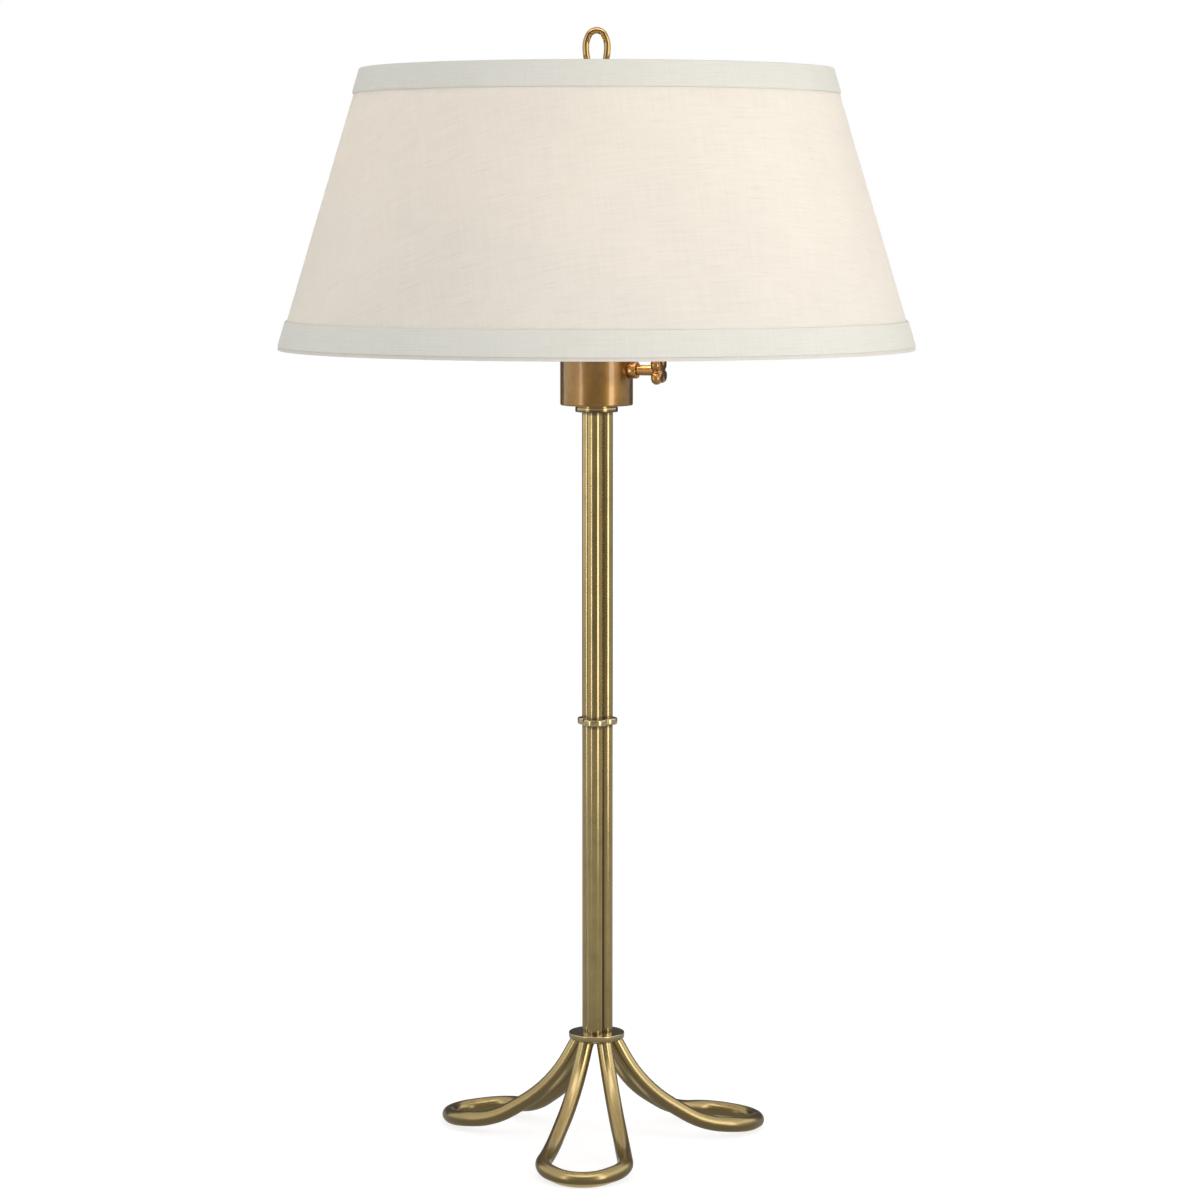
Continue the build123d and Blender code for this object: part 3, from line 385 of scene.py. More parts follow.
def finish(slot):
    """The finish of one of the record's slots, made once. The key's finish is a second look of brass_spun,
    redder and brighter as painted reflection.
    """
    c, metal, bias = lamp().colours, {"Metallic": 1.0}, math.radians(45)
    finishes = {
        # Drawn tube, rubbed lengthways: long soft highlights, with the grooves between the tubes darker,
        # partly brown patina and partly painted shade.
        "brass_tube": ("antique_brass_tube", brass, c.tube, c.tube_patina_and_painted_shade, 0.17, "tube", 0.2, 0.7, 0.12),
        # Turned from bar: fine rings that stretch the highlights across.
        "brass_turned": ("antique_brass_turned", brass, c.turned, c.tube_patina_and_painted_shade, 0.2, "lathe", 0.22),
        # Spun from sheet and left duller: a broad, browner sheen.
        "brass_spun": ("antique_brass_spun", brass, c.spun, c.spun_patina, 0.36, "lathe", 0.45),
        # Cast brass, redder and brighter than the cup's, which paints in the reflection of the shade's warm
        # underside; small hard glints.
        "brass_key": ("antique_brass_key", brass, c.key, c.spun_patina, 0.17, "plain", 0.3),
        # Bent wire, buffed: nearly a mirror.
        "brass_polished": ("polished_brass_wire", brass, c.polished, c.spun_patina, 0.06, "buffed", 0.1),
        # Steel wire plated with brass: pale and even.
        "harp_wire": ("brassed_steel", brass, c.harp, c.tube_patina_and_painted_shade, 0.2, "plain", 0.25),
        # Thin spun shell: bright, with fine rings.
        "socket_brass": ("spun_brass_shell", brass, c.shell, c.tube_patina_and_painted_shade, 0.2, "lathe", 0.2),
        # Plain linen: matt, with threads both ways and slubs.
        "shade_fabric": ("plain_weave_linen", cloth, c.linen, 0.9, 0.0, 0.45, 0.5),
        # Woven tape over two folds: denser, so that less light passes through.
        "shade_trim": ("woven_linen_tape", cloth, c.trim, 0.8, 0.0, 0.10, 0.6, 0.6),
        # Tape cut on the bias: its threads lie slantwise.
        "shade_hem": ("bias_cut_tape", cloth, c.hem, 0.7, bias, 0.10, 0.6, 0.3),
        # Matt plastic sheet: flat white, glowing from behind.
        "shade_liner": ("matt_styrene_sheet", styrene, c.liner, 0.60),
        # Stoved enamel on wire: glossy white, slightly orange-peeled.
        "frame_wire": ("stoved_enamel", plain, "E9E6DE", "DEDAD0", 0.3, 2.5, 0.02, {"IOR": 1.5}),
        # Zinc plating: pale grey, faintly mottled.
        "steel": ("zinc_plate", plain, "B9BAB8", "A4A5A4", 0.3, 1.2, 0.01, metal),
        # Rolled fibre paper: tan and fibrous.
        "paper": ("fibre_paper", plain, "B49A6C", "A28557", 0.8, 0.9, 0.03, {"IOR": 1.5}),
        # Moulded phenolic: near black, semi-gloss.
        "phenolic": ("moulded_phenolic", plain, "17130F", "211A15", 0.3, 3.0, 0.01, {"IOR": 1.6}),
        # Blown and frosted: an even glow.
        "glass": ("frosted_bulb_glass", frosted_glass, c.bulb_glow, lamp().stage.glow),
        # Cap rolled from aluminium sheet: bright, slightly scuffed.
        "aluminium": ("rolled_aluminium", plain, "CBCBCC", "B6B6B8", 0.28, 1.0, 0.01, metal),
        # Moulded rubber: matt black.
        "rubber": ("moulded_rubber", plain, "151412", "1D1B18", 0.65, 0.8, 0.02, {"IOR": 1.5}),
    }
    name, look, *values = finishes[slot]
    return bpy.data.materials.get(name) or material(name, look, *values)


# ---- mesh helpers ----

def placed(name, data):
    """New object in the scene that holds a mesh, a lamp or a camera."""
    obj = bpy.data.objects.new(name, data)
    bpy.context.scene.collection.objects.link(obj)
    return obj


def meshed(name, bm, *materials):
    """New object in the scene made of a finished bmesh."""
    mesh = bpy.data.meshes.new(name)
    bm.to_mesh(mesh)
    bm.free()
    for mat in materials:
        mesh.materials.append(mat)
    return placed(name, mesh)


def piece(name, bm, body, slot, replaces=(), sharp=32, tidy=True, look=None):
    """Finishes a mesh as a piece that rides on a body and takes a slot's finish."""
    if tidy:
        bmesh.ops.remove_doubles(bm, verts=bm.verts, dist=MERGE)
        bmesh.ops.dissolve_degenerate(bm, dist=MERGE / 4, edges=bm.edges)
        bmesh.ops.recalc_face_normals(bm, faces=bm.faces)
    obj = meshed(name, bm, finish(look or slot))
    obj.data.shade_smooth()
    obj.data.set_sharp_from_angle(angle=math.radians(sharp))
    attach(obj, body)
    if replaces:
        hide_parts(*replaces)
    return obj


def smoothed_copy(node, slot):
    """A CAD node's shape with its facets merged and shaded smooth, in its place on the stand."""
    bm = bmesh.new()
    bm.from_mesh(frame["nodes"][node].data)
    return piece(f"{node}_smooth", bm, "stand", slot, (node,))


def polar(radius, angle):
    return Vector((radius * math.cos(angle), radius * math.sin(angle), 0))


def above(z, outline):
    """An outline in metres from one in millimetres whose heights start at z."""
    return [(r * MM, z + height * MM, *rounding) for r, height, *rounding in outline]


def revolve(bm, edges, steps, angle=FULL_TURN):
    """Spins edges round the lamp's axis; a full turn closes on itself."""
    verts = list({v for e in edges for v in e.verts})
    bmesh.ops.spin(bm, geom=verts + edges, axis=UP, angle=angle, steps=steps, use_merge=angle >= FULL_TURN)


def turned(outline, steps=None):
    """Turned shape from its closed outline: radius and height in metres, then, for a rounded corner, the
    rounding in millimetres."""
    bm = bmesh.new()
    verts = [bm.verts.new((r, 0, z)) for r, z, *_ in outline]
    bm.faces.new(verts)
    rounds = {}
    for vert, (_, _, *rounding) in zip(verts, outline):
        if rounding:
            rounds.setdefault(rounding[0], []).append(vert)
    for rounding, corners in rounds.items():
        bmesh.ops.bevel(bm, geom=corners, offset=rounding * MM, offset_type="OFFSET", segments=4,
                        profile=0.5, affect="VERTICES", material=-1, clamp_overlap=True)
    face = max(bm.faces, key=lambda f: len(f.verts))
    edges = [e for e in face.edges if max(abs(v.co.x) for v in e.verts) > 1e-9]
    bmesh.ops.delete(bm, geom=[face], context="FACES_ONLY")
    revolve(bm, edges, steps or lamp().stage.facets)
    loose = [e for e in bm.edges if not e.link_faces]
    bmesh.ops.delete(bm, geom=loose, context="EDGES")
    return bm


def sideways(bm, height):
    """Lays a turned shape along the key's axis."""
    turn = Matrix.Rotation(KEY_TURN, 4, "Z") @ Matrix.Rotation(math.pi / 2, 4, "Y")
    bmesh.ops.transform(bm, matrix=Matrix.Translation((0, 0, height)) @ turn, verts=bm.verts)
    return bm


def curved(low, high, start, angle, steps):
    """Sheet bent round the lamp's axis from an azimuth on, between two points (radius, height)."""
    bm = bmesh.new()
    ends = [bm.verts.new(polar(radius, start) + UP * z) for radius, z in (low, high)]
    revolve(bm, [bm.edges.new(ends)], steps, angle)
    return bm


def walled(bm, thickness):
    """Gives a bare surface a wall on its inner side."""
    bmesh.ops.recalc_face_normals(bm, faces=bm.faces)
    bmesh.ops.solidify(bm, geom=bm.faces[:], thickness=thickness)
    return bm


def circle(bm, sides, radius, matrix=Matrix()):
    """Vertices and edges of a bare circle."""
    verts = bmesh.ops.create_circle(bm, segments=sides, radius=radius, matrix=matrix)["verts"]
    return verts, list({e for v in verts for e in v.link_edges})


def extruded(bm, edges):
    """Vertices and edges drawn from these edges, not yet moved."""
    made = bmesh.ops.extrude_edge_only(bm, edges=edges)["geom"]
    return ([g for g in made if isinstance(g, bmesh.types.BMVert)],
            [g for g in made if isinstance(g, bmesh.types.BMEdge)])


def bends(corners, radii):
    """Start, heading and moves of a line with rounded corners."""
    points = [Vector(c) for c in corners]
    moves, spent = [], 0.0
    for i, radius in enumerate(radii, 1):
        before, after = points[i] - points[i - 1], points[i + 1] - points[i]
        turn = before.angle(after)
        reach = radius * math.tan(turn / 2)
        moves.append((before.length - spent - reach, 0.0, None))
        moves.append((radius, turn, before.cross(after).normalized()))
        spent = reach
    moves.append(((points[-1] - points[-2]).length - spent, 0.0, None))
    return points[0], (points[1] - points[0]).normalized(), moves


def bent_tube(start, heading, moves, radius, sides=40, step=4.0, capped=True):
    """Round bar along straight runs, with their length, and bends, with their radius, angle and axis, in
    steps of so many degrees. The place on the bar is kept as along_tube: across, across and along."""
    bm = bmesh.new()
    layer = bm.verts.layers.float_vector.new("along_tube")
    square = heading.to_track_quat("Z", "Y").to_matrix().to_4x4()
    verts, ring = circle(bm, sides, radius, Matrix.Translation(start) @ square)
    back = square.inverted() @ Matrix.Translation(-start)
    for v in verts:
        v[layer] = back @ v.co
    first = list(ring)
    place, heading, run = start.copy(), heading.copy(), 0.0
    for length, turn, axis in moves:
        straight = axis is None
        if straight and length < 1e-6:
            continue
        count = 1
        if not straight:
            count = max(2, math.ceil(math.degrees(turn) / step))
            centre = place + length * axis.cross(heading)
            part = Matrix.Rotation(turn / count, 3, axis)
        for _ in range(count):
            verts, ring = extruded(bm, ring)
            if straight:
                bmesh.ops.translate(bm, verts=verts, vec=heading * length)
                place += heading * length
                run += length
            else:
                bmesh.ops.rotate(bm, verts=verts, cent=centre, matrix=part)
                place = centre + part @ (place - centre)
                heading = part @ heading
                run += length * turn / count
            for v in verts:
                v[layer] = (v[layer].x, v[layer].y, run)
    if capped:
        bmesh.ops.edgeloop_fill(bm, edges=first)
        bmesh.ops.edgeloop_fill(bm, edges=ring)
    return bm


def carved(obj, cutter_bm):
    """Cuts a shape out of a piece and keeps the result as its mesh."""
    bmesh.ops.recalc_face_normals(cutter_bm, faces=cutter_bm.faces)
    cutter = meshed("cutter", cutter_bm)
    cut = obj.modifiers.new("cut", "BOOLEAN")
    cut.operation = "DIFFERENCE"
    cut.object = cutter
    cut.solver = "EXACT"
    graph = bpy.context.evaluated_depsgraph_get()
    result = bpy.data.meshes.new_from_object(obj.evaluated_get(graph), preserve_all_data_layers=True,
                                             depsgraph=graph)
    obj.modifiers.remove(cut)
    obj.data = result
    bpy.data.objects.remove(cutter)


# ---- pieces ----

class LAMP_OT_feet(bpy.types.Operator):
    """Bend the three feet from brass tube, each a long loop whose ends meet the disc"""
    bl_idname = "lamp.feet"
    bl_label = "Feet"

    # Corners of one side of the loop in mm, from the knee to the toe: out, aside and up.
    corners = ((29.5, 14.0, 41.0), (75.0, 26.0, 11.5), (107.8, 31.0, 8.1), (129.1, 10.4, 5.6))

    def execute(self, context):
        s = lamp().stand
        top = Vector((s.foot_top_out, s.foot_top_side, s.disc_bottom))
        low = [Vector(p) * MM for p in self.corners]
        # Each leg runs on past the disc's underside and is cut off level with it.
        over = low[0] + (top - low[0]) * ((top.z + s.tube - low[0].z) / (top.z - low[0].z))
        half = [over] + low
        route = half + [Vector((p.x, -p.y, p.z)) for p in reversed(half)]
        radii = []
        for before, corner, after in zip(route, route[1:], route[2:]):
            turn = (corner - before).angle(after - corner)
            radii.append(0.49 * min((corner - before).length, (after - corner).length) / math.tan(turn / 2))
        for name, angle in FOOT_ANGLES.items():
            turn = Matrix.Rotation(math.radians(angle), 3, "Z")
            bm = bent_tube(*bends([turn @ p for p in route], radii), s.tube / 2, capped=False)
            bmesh.ops.bisect_plane(bm, geom=bm.verts[:] + bm.edges[:] + bm.faces[:], dist=1e-7,
                                   plane_co=(0, 0, s.disc_bottom), plane_no=UP, clear_outer=True)
            piece(f"bent_foot_{name}", walled(bm, s.wall), "stand", "brass_tube", (f"foot_{name}",))
        return {"FINISHED"}


class LAMP_OT_base(bpy.types.Operator):
    """Turn the base disc and the boss between the tube ends"""
    bl_idname = "lamp.base"
    bl_label = "Base disc"

    def execute(self, context):
        s = lamp().stand
        r, z0, z1 = s.disc / 2, s.disc_bottom, s.disc_top
        piece("turned_disc", turned([(0, z0), (r, z0, 1.6), (r, z1, 0.5), (0, z1)]), "stand", "brass_turned",
              ("base_disc",))
        r, low = s.boss / 2, z0 - 4 * MM
        piece("turned_boss", turned([(0, low), (r, low, 1.0), (r, z0), (0, z0)]), "stand", "brass_turned",
              ("base_boss",))
        return {"FINISHED"}


class LAMP_OT_stem(bpy.types.Operator):
    """Stand the three stem tubes and clasp them with the collar"""
    bl_idname = "lamp.stem"
    bl_label = "Stem"

    def execute(self, context):
        s = lamp().stand
        for k, name in enumerate(("front", "right", "left")):
            foot = polar(s.stem_pitch, math.radians(-90 + STEM_TURN + 120 * k)) + UP * s.disc_top
            bm = bent_tube(foot, UP, [(s.stem_top - s.disc_top, 0.0, None)], s.tube / 2, 56, capped=False)
            obj = piece(f"straight_tube_{name}", walled(bm, s.wall), "stand", "brass_tube",
                        (f"stem_tube_{name}",))
        # The last tube takes the cord inlet in its back.
        hole = bmesh.new()
        at = Matrix.Translation((foot.x, foot.y + s.tube / 2, s.inlet))
        bmesh.ops.create_cone(hole, cap_ends=True, segments=40, radius1=s.inlet_hole / 2,
                              radius2=s.inlet_hole / 2, depth=s.tube,
                              matrix=at @ Matrix.Rotation(math.pi / 2, 4, "X"))
        carved(obj, hole)
        smoothed_copy("mid_collar", "brass_turned")
        smoothed_copy("cord_bushing", "rubber")
        return {"FINISHED"}


class LAMP_OT_cup(bpy.types.Operator):
    """Turn the neck ring and spin the cup and its cover"""
    bl_idname = "lamp.cup"
    bl_label = "Cup"

    def execute(self, context):
        s = lamp().cup
        steps = 128
        z, r = s.bottom, s.neck / 2
        low, lip = z - 4.8 * MM, z - 1 * MM
        neck = [(0, low), (r, low, 0.8), (r, lip, 0.8), (r - 0.75 * MM, lip), (r - 0.75 * MM, z), (0, z)]
        # The neck ring takes the tubes' darker brass and its darkening at the joint below, as painted shade
        # under the cup.
        piece("turned_neck", turned(neck, steps), "stand", "brass_turned", ("neck_ring",), look="brass_tube")
        r, inner, floor = s.cup / 2, s.cup / 2 - s.wall, z + 2 * MM
        cup = [(0, z), (r, z, 1.2), (r, s.top, 0.3), (inner, s.top, 0.3), (inner, floor, 1.0), (0, floor)]
        piece("spun_cup", turned(cup, steps), "stand", "brass_spun", ("cup",))
        r, high = s.cover / 2, s.top + 2 * MM
        piece("spun_cover", turned([(0, s.top), (r, s.top, 0.2), (r, high, 0.9), (0, high)], steps), "stand",
              "brass_spun", ("cup_cover",))
        return {"FINISHED"}


class LAMP_OT_key(bpy.types.Operator):
    """Dress the switch collar and the four-lobed key"""
    bl_idname = "lamp.key"
    bl_label = "Switch key"

    def execute(self, context):
        s = lamp().cup
        wall = s.cup / 2
        end, head = wall + s.key_collar_out, wall + s.key_head_out
        r, bore = s.key_collar / 2, s.key_stem / 2 + 0.2 * MM
        collar = [(bore, wall - 1 * MM), (r - 0.9 * MM, wall - 1 * MM), (r - 0.9 * MM, wall + 0.2 * MM),
                  (r, wall + 0.5 * MM, 0.3), (r, end, 0.9), (bore + 0.9 * MM, end, 0.4),
                  (bore, end - 1.2 * MM)]
        r, z0, z1 = s.key_stem / 2, end - 2 * MM, head + 1 * MM
        stem = [(0, z0), (r, z0), (r, z1), (0, z1)]
        for name, bm, body, replaces, sharp in (
                ("turned_key_collar", turned(collar, 72), "stand", ("switch_collar",), 32),
                ("turned_key_stem", turned(stem, 64), "key", (), 32),
                ("lobed_key", self.lobed(head), "key", ("key_knob",), 60)):
            piece(name, sideways(bm, s.key), body, "brass_spun", replaces, sharp, look="brass_key")
        return {"FINISHED"}

    def lobed(self, start):
        """Four-lobed head with a full round rim: the lobes' outline, drawn along the axis and in."""
        s = lamp().cup
        bm = bmesh.new()
        ring, edges = circle(bm, 120, s.key_core)
        lobes_at = math.radians(50)
        power = 20              # how crisply the lobes meet the core
        for v in ring:
            angle = math.atan2(v.co.y, v.co.x) - lobes_at
            off = (angle + math.pi / 4) % (math.pi / 2) - math.pi / 4
            across = s.key_core * math.sin(off)
            out = s.key_core
            if abs(across) < s.key_lobe:
                lobe = s.key_core * math.cos(off) + math.sqrt(s.key_lobe ** 2 - across ** 2)
                out = (out ** power + lobe ** power) ** (1 / power)
            v.co *= out / v.co.length
        rim, steps = s.key_head / 2, 14
        for v in ring:
            v.co *= (v.co.length - rim) / v.co.length
        bmesh.ops.translate(bm, verts=ring, vec=UP * start)
        first = list(edges)
        for k in range(steps):
            ring, edges = extruded(bm, edges)
            before, now = math.pi * k / steps, math.pi * (k + 1) / steps
            for v in ring:
                flat = Vector((v.co.x, v.co.y, 0))
                v.co += flat.normalized() * rim * (math.sin(now) - math.sin(before))
                v.co.z += rim * (math.cos(before) - math.cos(now))
        bmesh.ops.edgeloop_fill(bm, edges=first)
        bmesh.ops.edgeloop_fill(bm, edges=edges)
        return bm


class LAMP_OT_harp(bpy.types.Operator):
    """Bend the harp, its saddle and its two ferrules"""
    bl_idname = "lamp.harp"
    bl_label = "Harp"

    def execute(self, context):
        s = lamp().light
        foot_z, leg_z, z = 614.2 * MM, 642.2 * MM, s.harp_top
        half = [(-s.harp_foot, 0, foot_z), (-s.harp_foot, 0, leg_z), (-s.harp_side, 0, leg_z + 26 * MM),
                (-s.harp_side, 0, z - 46 * MM), (-s.harp_foot, 0, z)]
        corners = half + [(-x, y, z) for x, y, z in reversed(half)]
        radii = [r * MM for r in (12, 26, 38, 30, 30, 38, 26, 12)]
        piece("harp_hoop", bent_tube(*bends(corners, radii), s.harp_wire / 2, 24), "stand", "harp_wire",
              ("harp",))
        seat = [(0, -1.8), (6.5, -1.8, 0.6), (6.5, 4, 0.6), (0, 4)]
        piece("harp_seat", turned(above(z, seat), 64), "stand", "harp_wire")
        # The 1/4 in thread has 27 turns to the inch, drawn as rings.
        pitch, crest, root = 25.4 / 27, 3.15, 2.8
        thread = [(root if k % 2 else crest, 3 + k * pitch / 2) for k in range(16)]
        thread = [(0, 3)] + thread + [(2.3, 10.4), (0, 10.5)]
        piece("harp_thread", turned(above(z, thread), 48), "stand", "harp_wire")
        ferrule = [(1.85, 0), (3.2, 0, 0.5), (3.2, 2.1, 0.3), (2.9, 2.5), (2.9, 15.5), (3.2, 15.9, 0.3),
                   (3.2, 18, 0.5), (1.85, 18)]
        ferrule_z = 606.1 * MM
        for side, name in ((-1, "left"), (1, "right")):
            bm = turned(above(ferrule_z, ferrule), 48)
            bmesh.ops.translate(bm, verts=bm.verts, vec=(side * s.harp_foot, 0, 0))
            piece(f"beaded_ferrule_{name}", bm, f"ferrule_{name}", "harp_wire", (f"ferrule_{name}",))
        smoothed_copy("harp_saddle", "harp_wire")
        return {"FINISHED"}


class LAMP_OT_socket(bpy.types.Operator):
    """Spin the socket's cap and shell"""
    bl_idname = "lamp.socket"
    bl_label = "Socket"

    def execute(self, context):
        s = lamp().light
        r = s.socket / 2 / MM
        w, inside, bead = r - 0.75, r - 1.45, r - 0.3
        cap = [(4.9, 0), (7.0, 0, 0.4), (7.0, 5.2, 0.6), (14.2, 10.0, 2.0), (r, 12.6, 1.5), (r, 17.0, 0.2),
               (r - 0.7, 17.0), (r - 0.7, 13.2), (14.0, 11.0), (4.9, 6.4)]
        shell = [(w, 14), (w, 22.5, 0.3), (bead, 23.5, 0.5), (w, 24.5, 0.3), (w, 51.5, 0.3),
                 (bead, 52.5, 0.5), (w, 53.5, 0.3), (w, 55.2, 0.3), (r, 56.2, 0.4), (w, 57, 0.3),
                 (inside, 57, 0.2), (inside, 14)]
        for name, outline in (("cap", cap), ("shell", shell)):
            piece(f"spun_socket_{name}", turned(above(s.socket_bottom, outline)), "stand", "socket_brass",
                  (f"socket_{name}",))
        return {"FINISHED"}


class LAMP_OT_bulb(bpy.types.Operator):
    """Blow the frosted bulb and roll its screw cap"""
    bl_idname = "lamp.bulb"
    bl_label = "Bulb"

    def execute(self, context):
        s = lamp().light
        bm = bmesh.new()
        pole = bm.verts.new((0, 0, s.bulb_middle + s.bulb / 2))
        # The ball curves round this far from its pole, then runs straight to the neck.
        round_to = math.radians(123)
        arc = bmesh.ops.spin(bm, geom=[pole], cent=(0, 0, s.bulb_middle), axis=(0, 1, 0), angle=round_to,
                             steps=40)
        last = [g for g in arc["geom_last"] if isinstance(g, bmesh.types.BMVert)][0]
        neck_r, neck_z, cap_z = 12.3 * MM, 631.9 * MM, 627.9 * MM
        drop = (last.co.x - neck_r) / math.tan(round_to - math.pi / 2)
        neck = bm.verts.new((neck_r, 0, last.co.z - drop))
        foot = bm.verts.new((neck_r, 0, neck_z))
        bm.edges.new((last, neck))
        bm.edges.new((neck, foot))
        bmesh.ops.bevel(bm, geom=[neck], offset=4.2 * MM, offset_type="OFFSET", segments=8, profile=0.5,
                        affect="VERTICES", material=-1)
        revolve(bm, bm.edges[:], 96)
        bmesh.ops.remove_doubles(bm, verts=bm.verts, dist=MERGE)
        piece("bulb_envelope", walled(bm, s.bulb_glass), "stand", "glass", ("bulb_glass",), tidy=False)
        # Medium screw thread: 7 turns to the inch, drawn as rings.
        pitch, crest = 25.4 / 7, 13.1
        cap = [(10.5, 0, 0.2), (crest - 1.0, 3.0, 0.6)]
        for k in range(5):
            cap += [(crest, (k + 1.3) * pitch, 0.8), (crest - 0.9, (k + 1.8) * pitch, 0.8)]
        cap += [(crest - 0.1, 23, 0.2), (crest - 0.5, 23), (crest - 1.6, 4)]
        piece("rolled_bulb_cap", turned(above(cap_z, cap)), "stand", "aluminium", ("bulb_cap",))
        return {"FINISHED"}


def shade_lean():
    """How much the linen's radius falls with each metre up."""
    s = lamp().shade
    return (s.bottom_radius - s.top_radius) / (s.top - s.trim_start)


def shade_radius(height):
    """Outside radius of the linen at a height."""
    s = lamp().shade
    return s.bottom_radius - shade_lean() * (height - s.trim_start)


def cut_pattern(bm, around_cone):
    """Lays the cut cloth out flat as the UV map. The shade's cloth is a sector with its threads straight
    across; a tape runs straight along the shade."""
    layer = bm.loops.layers.uv.new("cut")
    lean = math.atan(shade_lean())
    straight_at = CAMERA_AZIMUTH + math.radians(30)
    for face in bm.faces:
        middle = face.calc_center_median()
        whole = (math.atan2(middle.y, middle.x) - SEAM) % FULL_TURN
        for loop in face.loops:
            v = loop.vert.co
            angle = math.atan2(v.y, v.x) - SEAM
            angle += FULL_TURN * round((whole - angle) / FULL_TURN)
            reach = math.hypot(v.x, v.y) / math.sin(lean)
            if around_cone:
                swing = (angle + SEAM - straight_at - FULL_TURN) * math.sin(lean)
                spot = Vector((reach * math.sin(swing), reach * math.cos(swing)))
            else:
                spot = Vector((angle * lamp().shade.bottom_radius, reach))
            loop[layer].uv = spot / CLOTH_UNIT
    return bm


class LAMP_OT_shade(bpy.types.Operator):
    """Stretch the linen and its liner, and fold the tapes over the edges"""
    bl_idname = "lamp.shade"
    bl_label = "Shade"

    def execute(self, context):
        s = lamp().shade
        low, high = s.bottom + 1 * MM, s.top - 1 * MM
        linen = piece("linen_cone", cut_pattern(self.cone(low, high, 0, s.fabric * 0.9), True), "shade",
                      "shade_fabric", ("shade_fabric",), tidy=False)
        liner = self.cone(low, high, -s.fabric - 0.05 * MM, s.liner)
        piece("liner_cone", liner, "shade", "shade_liner", ("shade_liner",), tidy=False)

        # Sections of the tapes: height, distance out from the linen's outside, rounding in mm. A folded
        # tape goes over the edge and its wire, and ends behind them.
        proud, skin, edge = s.trim_proud, 0.05 * MM, 0.95 * MM
        back = -(s.fabric + s.liner + s.wire + 1.3 * MM)
        behind = back - 0.8 * MM
        z0, z1 = s.bottom, s.bottom + 2.4 * MM + s.trim
        hem = [(z0, 0.65 * MM, 0.4), (z1, 0.65 * MM, 0.2), (z1, skin), (z0 + edge, skin), (z0 + edge, back),
               (z0 + s.turn_in, back, 0.2), (z0 + s.turn_in, behind, 0.3), (z0, behind, 0.6)]
        t0, t1 = s.trim_start, s.trim_start + s.trim
        band = [(t0, proud, 0.55), (t1, proud, 0.55), (t1, 0.7 * MM), (t0, 0.7 * MM)]
        e0, e1 = s.top - s.trim, s.top
        over = [(e0, 0.55 * MM, 0.3), (e0 + 1.3 * MM, proud, 1.0), (e1, proud, 0.8), (e1, behind, 0.6),
                (e1 - s.turn_in, behind, 0.3), (e1 - s.turn_in, back, 0.2), (e1 - edge, back),
                (e1 - edge, skin), (e0, skin)]
        hem_tape, lower, upper = (
            piece(name, cut_pattern(self.tape(section), False), "shade", slot, (node,))
            for name, section, slot, node in (("folded_hem", hem, "shade_hem", "shade_hem_tape"),
                                              ("bottom_band", band, "shade_trim", "shade_bottom_trim"),
                                              ("top_band", over, "shade_trim", "shade_top_trim")))

        # The cloth laps at the back, and each trim's end is folded under and glued over its start.
        seam, low_lap, top_lap = (
            piece(name, cut_pattern(self.lap(start, end, out, width), cone), "shade", slot)
            for name, start, end, out, width, cone, slot in (
                ("linen_lap", t1 - 1 * MM, e0 + 1 * MM, 0.5 * MM, 7 * MM, True, "shade_fabric"),
                ("bottom_lap", t0 + 0.3 * MM, t1 - 0.3 * MM, proud + 0.5 * MM, 11 * MM, False, "shade_trim"),
                ("top_lap", e0 + 0.3 * MM, e1 - 0.5 * MM, proud + 0.5 * MM, 11 * MM, False, "shade_trim")))

        return {"FINISHED"}

    def cone(self, z0, z1, outside, thickness):
        """Thin conical wall, its outer face set out from the linen's."""
        ends = [(shade_radius(z) + outside, z) for z in (z0, z1)]
        bm = curved(*ends, SEAM, FULL_TURN, 240)
        bmesh.ops.remove_doubles(bm, verts=bm.verts, dist=MERGE)
        return walled(bm, thickness)

    def tape(self, section):
        """Tape all round the shade."""
        return turned([(shade_radius(z) + out, z, *rounding) for z, out, *rounding in section], 240)

    def lap(self, z0, z1, out, width):
        """Narrow strip up the shade's back, standing this far out from the linen."""
        ends = [(shade_radius(z) + out, z) for z in (z0, z1)]
        span = width / shade_radius(z0)
        return walled(curved(*ends, SEAM - span / 2, span, 6), 0.9 * MM)


class LAMP_OT_shade_frame(bpy.types.Operator):
    """Bend and weld the shade's two rings and its spider"""
    bl_idname = "lamp.shade_frame"
    bl_label = "Shade frame"

    def execute(self, context):
        s = lamp().shade
        inside = s.fabric + s.liner + 0.6 * MM + s.wire / 2
        for name, z, node in (("bottom_wire", s.bottom + 1.05 * MM + s.wire / 2, "shade_bottom_ring"),
                              ("top_wire", s.top - 1.05 * MM - s.wire / 2, "shade_spider")):
            r = shade_radius(z) - inside
            bm = bent_tube(Vector((r, 0, z)), Vector((0, 1, 0)), [(r, FULL_TURN, UP)], s.wire / 2, 20, 2.5,
                           capped=False)
            piece(name, bm, "shade", "frame_wire", (node,))
        # Three arms run level from the hub and rise to the top ring.
        arm_z = s.washer + 2.7 * MM
        for k in range(3):
            turn = Matrix.Rotation(math.radians(90 + 120 * k), 3, "Z")
            corners = [turn @ Vector(p) for p in ((8.5 * MM, 0, arm_z), (r - 22 * MM, 0, arm_z), (r, 0, z))]
            arm = bent_tube(*bends(corners, [12 * MM]), s.wire / 2, 20)
            piece(f"spider_arm_{k}", arm, "shade", "frame_wire")
        hub = [(3.25, 0, 0.2), (12.5, 0, 0.3), (12.5, 1.45, 0.4), (3.25, 1.45, 0.2)]
        piece("spider_hub", turned(above(s.washer, hub), 72), "shade", "frame_wire", ("spider_washer",))
        return {"FINISHED"}


